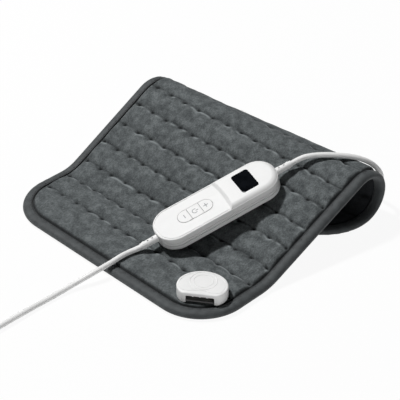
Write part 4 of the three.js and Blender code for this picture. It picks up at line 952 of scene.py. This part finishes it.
def rings_of(outline, *places):
    """Rings of an outline that is drawn for an inset or a growth, each at its height."""
    return [[(x, y, z) for x, y in outline(inset)] for inset, z in places]


def round_over(radius, top, steps=8):
    """Insets and heights of a wall's upper edge, rounded over."""
    return [
        (radius * (1 - math.cos(a)), top - radius * (1 - math.sin(a)))
        for a in np.linspace(0, math.pi / 2, steps + 1)
    ]


socket_shell = blank("socket_cover", rings_of(
    socket_outline, (0.25, socket_base), (0, socket_base + 0.3), *round_over(roof_round, socket_top, 6),
    (5.5, socket_top + 0.08),
))
cut(socket_shell, "socket_hollow", rings_of(
    socket_outline, (socket_wall, socket_base - 1), (socket_wall + 0.6, socket_top - socket_wall),
))
slot_half = slot_width / 2
cut(socket_shell, "slot_mouth", [
    [(x, y, z) for x, z in (
        (-slot_half, slot_floor - 3), (slot_half, slot_floor - 3), (slot_half, slot_top - 1),
        (slot_half - 1, slot_top), (1 - slot_half, slot_top), (-slot_half, slot_top - 1),
    )]
    for y in (-5, 5)
])
for x in key_places:
    cut(socket_shell, "key_rib", [
        [(x + a, y, slot_top + 1 + b) for a, b in rounded_rectangle(1.8, 4, 0.5, 3)] for y in (0.4, 4.6)
    ], "UNION")
ring_section = ((-0.6, -0.6), (0.6, -0.6), (0.45, 0.2), (0.2, 0.4), (-0.2, 0.4), (-0.45, 0.2))
for radius in ring_radii:
    cut(socket_shell, "roof_ring", [
        [((radius + r) * math.cos(a), ring_middle + (radius + r) * math.sin(a), socket_top + z)
         for r, z in ring_section]
        for a in np.linspace(0, 2 * math.pi, 72, endpoint=False)
    ], "UNION", True)
roof_wave = [(x, 4.7 + 1.1 * math.cos(2 * math.pi * x / 25)) for x in np.linspace(-19, 19, 53)]
roof_side = [p for p in socket_outline(2.8) if p[1] > 6.5]
roof_side.sort(key=lambda p: math.atan2(-p[0], p[1] - socket_shoulder))
roof_line = np.array(roof_side + roof_wave)
roof_run = np.roll(roof_line, -1, 0) - np.roll(roof_line, 1, 0)
roof_aside = np.stack([-roof_run[:, 1], roof_run[:, 0]], -1) / np.linalg.norm(roof_run, axis=1)[:, None]
cut(socket_shell, "roof_contour", [
    [(*(p + n * w), socket_top + z) for w, z in ((-0.55, 0.3), (0, -0.4), (0.55, 0.3))]
    for p, n in zip(roof_line, roof_aside)
], looped=True)
fit(socket_shell, socket_place, socket_white, "pad", ["socket_shell"])

steel_screw = mottled(
    "steel_bright", (1200, 4), (0.3, (0.42, 0.43, 0.44)), (0.7, (0.58, 0.59, 0.6)), (0.25, 0.42),
    {"Metallic": 1.0},
)
black_moulded = moulded("black_moulded", (0.02, 0.021, 0.023), 0.45)
# The base plate is given dark grey as painted shade for the inside of the slot.
dress(moulded("base_painted_shade_grey", (0.2, 0.2, 0.2), 0.5), "socket_base")
dress(steel_screw, "socket_clamp", "socket_screw_1", "socket_screw_2")
dress(black_moulded, "contact_block")
dress(brass_pin, *(f"contact_pin_{n}" for n in range(1, 5)))
dress(moulded("fuse_cream", (0.68, 0.65, 0.56), 0.4), "thermal_fuse")
dress(moulded("lead_red", (0.42, 0.03, 0.025), 0.45), "socket_lead_1", "socket_lead_2")

# Controller case: two white mouldings screwed together from below. The upper one has a flat key panel
# with a fine border line, and steps up in a soft bow to the raised display end.
case_white = moulded("case_white", (0.845, 0.845, 0.84), 0.55)
case_length, case_width, case_corner = 141.0, 46.0, 21.0
split_height, panel_height, display_height, case_wall = 7.0, 17.0, 20.4, 2.0
step_place, step_bow, step_depth, display_round = 7.0, 2.0, 4.5, 6.5
foot_round, panel_round = 3.0, 1.2
screw_places = [(a * 54.0, b * 11.5) for a in (-1, 1) for b in (-1, 1)]
post_radius, screw_hole, head_hole, relief_bore = 3.2, 1.6, 2.6, 4.3


def case_outline(inset):
    """The controller's outline in plan, drawn in by an inset."""
    return rounded_rectangle(case_length - 2 * inset, case_width - 2 * inset, case_corner - inset, 16)


def display_end(set_back, low, high, depth=0.0):
    """The raised end's room in plan, from its bowed step, with a step face that leans back by a depth."""
    across = np.linspace(case_width, -case_width, 33) / 2
    rings = []
    for share in np.linspace(0, 1, 15 if depth else 2):
        start = step_place + set_back + depth * share
        front = [(start + step_bow * (1 - (2 * v / case_width) ** 2), v) for v in across]
        outline = front + [(case_length, -case_width / 2), (case_length, case_width / 2)]
        rings.append([(x, y, low + (high - low) * ease(share, 0, 1)) for x, y in outline])
    return rings


def upright(x, y, radius, low, high, sides=28):
    """Rings of a round post or hole."""
    angles = [2 * math.pi * i / sides for i in range(sides)]
    return [[(x + radius * math.cos(a), y + radius * math.sin(a), z) for a in angles] for z in (low, high)]


def bore_ends(body):
    """Cuts the way of the strain reliefs through both ends of a case half."""
    bore = blank("relief_bore", turned([(-90, relief_bore), (90, relief_bore)]))
    bore.data.transform(Matrix.Translation((0, 0, cord_rise)))
    carve(body, bore)


foot = [
    (foot_round * (1 - math.sin(a)), foot_round * (1 - math.cos(a))) for a in np.linspace(0, math.pi / 2, 9)
]
case_lower = blank("controller_lower_case", rings_of(
    case_outline, *foot, (0, split_height - 0.5), (0.9, split_height - 0.3),
))
cut(case_lower, "lower_hollow", rings_of(case_outline, (case_wall, case_wall), (case_wall, 9)))
for x, y in screw_places:
    cut(case_lower, "screw_post", upright(x, y, post_radius, 1.0, 5.7), "UNION")
    cut(case_lower, "screw_hole", upright(x, y, screw_hole, -1, 7))
    cut(case_lower, "head_hole", upright(x, y, head_hole, -1, 2.2))
bore_ends(case_lower)
fit(case_lower, case_place, case_white, "controller", ["case_bottom"])

case_upper = blank("controller_upper_case", rings_of(
    case_outline, (0.9, split_height + 0.3), (0, split_height + 0.5), (0, 10.2), (0.7, 10.4), (0.7, 10.8),
    (0, 11.0), *round_over(panel_round, panel_height), (1.7, panel_height), (1.85, panel_height - 0.5),
    (2.35, panel_height - 0.5), (2.5, panel_height),
))
raised = blank("raised_end", rings_of(
    case_outline, (0, 10.5), *round_over(display_round, display_height, 12), (7.2, display_height),
))
end_room = display_end(-1.5, 12.0, 16.6) + display_end(-1.5, 16.9, display_height + 0.05, step_depth)
cut(raised, "end_room", end_room, "INTERSECT")
carve(case_upper, raised, "UNION")
cut(case_upper, "panel_hollow", rings_of(case_outline, (case_wall, 6), (case_wall, panel_height - 2)))
end_hollow = blank("end_hollow", rings_of(case_outline, (5, 6), (5, display_height - 2)))
cut(end_hollow, "hollow_room", display_end(4, 5, 19), "INTERSECT")
carve(case_upper, end_hollow)

key_middle, key_length, key_width = -24.0, 39.5, 16.0
key_first, key_last = key_middle - key_length / 2, key_middle + key_length / 2


def key_outline(start, stop, grow, steps=20):
    """The pill of keys, or a run of it, grown by a play."""
    half = key_width / 2
    radius = half + grow
    points = []
    if stop >= key_last:
        angles = np.linspace(-math.pi / 2, math.pi / 2, steps)
        points += [(key_last - half + radius * math.cos(a), radius * math.sin(a)) for a in angles]
    else:
        points += [(stop + min(grow, 0), radius * t) for t in np.linspace(-1, 1, steps)]
    if start <= key_first:
        angles = np.linspace(math.pi / 2, 1.5 * math.pi, steps)
        points += [(key_first + half + radius * math.cos(a), radius * math.sin(a)) for a in angles]
    else:
        points += [(start - min(grow, 0), radius * t) for t in np.linspace(1, -1, steps)]
    return points


cut(case_upper, "key_opening", rings_of(
    lambda grow: key_outline(key_first, key_last, grow),
    (0.3, 12), (0.3, panel_height - 0.35), (0.75, panel_height + 0.1), (0.75, panel_height + 2),
))
window_length, window_width, window_corner, window_play = 19.1, 27.5, 2.4, 0.3


def window_outline(grow):
    """The display window's outline, grown by a play."""
    outline = rounded_rectangle(window_length + 2 * grow, window_width + 2 * grow, window_corner + grow)
    return [(window_middle.x + x, y) for x, y in outline]


cut(case_upper, "window_seat", rings_of(window_outline, (window_play, 19.0), (window_play, 23)))
cut(case_upper, "window_hole", rings_of(window_outline, (-1.5, 15), (-1.5, 20)))
for x, y in screw_places:
    post_top = (panel_height if x < 0 else display_height) - 1.5
    cut(case_upper, "screw_post", upright(x, y, post_radius, 7.9, post_top), "UNION")
    cut(case_upper, "screw_hole", upright(x, y, screw_hole, 6.6, 13))
bore_ends(case_upper)
fit(case_upper, case_place, case_white, "controller", ["case_top"], 28)

# Display window: a smoked black pane set flush in the raised end, with a softened edge.
# It is dark and glossy while the controller is off.
window_black = mottled(
    "window_black", (120, 3), (0.35, (0.0025, 0.003, 0.004)), (0.65, (0.005, 0.006, 0.008)), (0.06, 0.12),
    {"Specular IOR Level": 0.12},
)
window_pane = blank("display_pane", rings_of(
    window_outline, (0, 19.3), (0, 20.15), (-0.1, 20.32), (-0.35, display_height), (-0.6, display_height),
))
fit(window_pane, case_place, window_black, "controller", ["display_window"])

# Keys: three satin white keys that share one pill-shaped opening, each kept in by a flange under the
# panel. Their signs are printed in grey: a bar, the power sign and a cross.
key_white = moulded("key_white", (0.84, 0.84, 0.835), 0.55)
sign_grey = moulded("sign_grey", (0.30, 0.31, 0.32), 0.5, 0.05)
key_top, key_gap, sign_proud = 17.4, 0.15, 0.05
divide_low, divide_high = key_middle - 6.8, key_middle + 6.8


def bar(x, y, length, width):
    """Rings of a printed bar, a hair proud of its key."""
    outline = rounded_rectangle(length, width, min(length, width) * 0.35, 3)
    return [[(x + a, y + b, z) for a, b in outline] for z in (key_top - sign_proud, key_top + sign_proud)]


def arc(x, radius, width, gap):
    """Rings of a printed ring, open towards the display by a gap."""
    inner, outer = radius - width / 2, radius + width / 2
    section = ((inner, -sign_proud), (outer, -sign_proud), (outer, sign_proud), (inner, sign_proud))
    return [
        [(x + r * math.cos(a), r * math.sin(a), key_top + z) for r, z in section]
        for a in np.linspace(math.radians(gap), math.radians(360 - gap), 49)
    ]


minus_x, plus_x = (key_first + divide_low) / 2 + 0.8, (divide_high + key_last) / 2 - 0.8
key_signs = {
    "minus": [bar(minus_x, 0, 0.9, 5.2)],
    "power": [arc(key_middle - 0.3, 2.7, 0.8, 48), bar(key_middle + 2.2, 0, 3.2, 0.8)],
    "plus": [bar(plus_x, 0, 0.9, 5.6), bar(plus_x, 0, 5.6, 0.9)],
}
for name, start, stop in (
    ("minus", key_first, divide_low - key_gap), ("power", divide_low + key_gap, divide_high - key_gap),
    ("plus", divide_high + key_gap, key_last),
):
    key = blank(f"key_{name}", rings_of(
        lambda grow: key_outline(start, stop, grow), (1.2, 13.5), (1.2, 14.7), (0, 14.7), (0, 16.9),
        (-0.12, 17.2), (-0.35, 17.35), (-0.7, key_top), (-1.0, key_top),
    ))
    fit(key, case_place, key_white, f"{name}_key", [f"button_{name}"])
    for number, shape in enumerate(key_signs[name]):
        sign = blank(f"sign_{name}_{number}", shape)
        fit(sign, case_place, sign_grey, f"{name}_key")

# Strain reliefs of the controller: soft white tapered tails gripped in the case's end walls, with blind
# flex holes and a collar near the cord.
relief_white = moulded("relief_white", (0.87, 0.87, 0.865), 0.5)
case_end, relief_reach = case_length / 2, 19.5
flex_radius, flex_floor, flex_first, flex_pitch = 1.05, 1.6, 5, 5.5


def tail_radius(along):
    """The radius of a strain relief's taper at a place along it."""
    return 4.0 - 0.6 * (along - case_end) / relief_reach


collar_stop = case_end + relief_reach - 3.2
collar_start = collar_stop - 2.2
relief_profile = [
    (66.5, 5.2), (68.2, 5.2), (68.2, 4.0), (case_end, 4.0), (collar_start - 0.1, tail_radius(collar_start)),
    (collar_start, 3.8), (collar_start + 0.3, 4.0), (collar_stop - 0.3, 4.0), (collar_stop, 3.8),
    (collar_stop + 0.1, tail_radius(collar_stop)), (89.4, 3.4), (89.9, 3.25), (90.2, 2.95),
]
for name, turn in (("pad_cord_relief", 0), ("mains_cord_relief", math.pi)):
    relief = blank(name.replace("relief", "tail"), turned(relief_profile))
    for i in range(2):
        along = case_end + flex_first + flex_pitch * i
        floor_depth = tail_radius(along) - flex_floor
        for low, high in ((-8, -floor_depth), (floor_depth, 8)):
            cut(relief, "flex_hole", upright(along, 0, flex_radius, low, high, 20))
    spin = Matrix.Translation((0, 0, cord_rise)) @ Matrix.Rotation(turn, 4, "Z")
    fit(relief, case_place @ spin, relief_white, "controller", [name])

# Inside the controller: a green circuit board on the case's posts, with the key switches, relay,
# capacitor, fuse, terminals and display module on it, and four screws. They keep their CAD solids.
board_green, tree, shader, coords = start_material("board_green")
tracks = add_node(tree, "ShaderNodeTexBrick", {
    "Vector": coords, "Scale": 160, "Mortar Size": 0.08, "Color1": (0.012, 0.075, 0.035, 1),
    "Color2": (0.014, 0.095, 0.045, 1), "Mortar": (0.03, 0.16, 0.08, 1),
})
feed(tree, shader, {"Base Color": tracks.outputs["Color"], "Roughness": 0.4})
dress(board_green, "circuit_board")
dress(black_moulded, "switch_minus", "switch_power", "switch_plus")
dress(moulded("relay_blue", (0.025, 0.08, 0.26), 0.4), "power_relay")
dress(moulded("capacitor_amber", (0.46, 0.23, 0.03), 0.4), "capacitor")
dress(moulded("fuse_glass_grey", (0.62, 0.66, 0.68), 0.15), "fuse")
dress(moulded("terminal_green", (0.03, 0.19, 0.07), 0.45), "mains_terminal", "output_terminal")
dress(moulded("module_green", (0.03, 0.07, 0.045), 0.4), "display_module")
dress(steel_screw, *(f"case_screw_{n}" for n in range(1, 5)))

# Floor and light: a plain pale floor that reads nearly white to the camera but keeps a soft shadow, a
# small lamp high on the left, a broad weak one low on the right, and a dim surround that reads white.
floor_half, floor_drop, floor_white, surround_level = 4, 0.0004, 0.93, 0.04
floor_mesh = bpy.data.meshes.new("floor")
floor_corners = [(a * floor_half, b * floor_half, -floor_drop) for a, b in corner_signs]
floor_mesh.from_pydata(floor_corners, [], [(3, 0, 1, 2)])
floor = new_object("floor", floor_mesh)
floor_pale = bpy.data.materials.new("floor_pale")
floor_pale.use_nodes = True
tree = floor_pale.node_tree
tree.nodes.clear()
ray = add_node(tree, "ShaderNodeLightPath", {}).outputs
seen = ray["Is Camera Ray"]
for kind in ("Is Glossy Ray", "Is Transmission Ray"):
    seen = add_node(tree, "ShaderNodeMath", {0: seen, 1: ray[kind]}, operation="MAXIMUM").outputs[0]
share = add_node(tree, "ShaderNodeMath", {0: seen, 1: floor_white}, operation="MULTIPLY").outputs[0]
matt = add_node(tree, "ShaderNodeBsdfDiffuse", {"Color": (0.86, 0.86, 0.86, 1)}).outputs["BSDF"]
white = add_node(tree, "ShaderNodeEmission", {"Strength": 1.0}).outputs["Emission"]
floor_mix = add_node(tree, "ShaderNodeMixShader", {"Fac": share, 1: matt, 2: white}).outputs["Shader"]
add_node(tree, "ShaderNodeOutputMaterial", {"Surface": floor_mix})
floor_mesh.materials.append(floor_pale)


def lamp(name, direction, distance, size, power):
    """A square lamp that looks at the middle of the pad from a direction."""
    light = bpy.data.lights.new(name, "AREA")
    light.size = size
    light.energy = power
    look_back(new_object(name, light), at(0, 140, 30), Vector(direction).normalized(), distance)


lamp("key_lamp", (-0.42, -0.11, 0.90), 3.0, 0.26, 92)
lamp("side_lamp", (0.88, -0.45, 0.12), 2.0, 0.8, 8)
surround = bpy.data.worlds.new("surround")
bpy.context.scene.world = surround
surround.use_nodes = True
tree = surround.node_tree
seen = add_node(tree, "ShaderNodeLightPath", {}).outputs["Is Camera Ray"]
level = add_node(tree, "ShaderNodeMapRange", {"Value": seen, "To Min": surround_level, "To Max": 1.0})
feed(tree, tree.nodes["Background"], {"Color": (1, 1, 1, 1), "Strength": level.outputs["Result"]})
bpy.context.scene.view_settings.view_transform = "Standard"
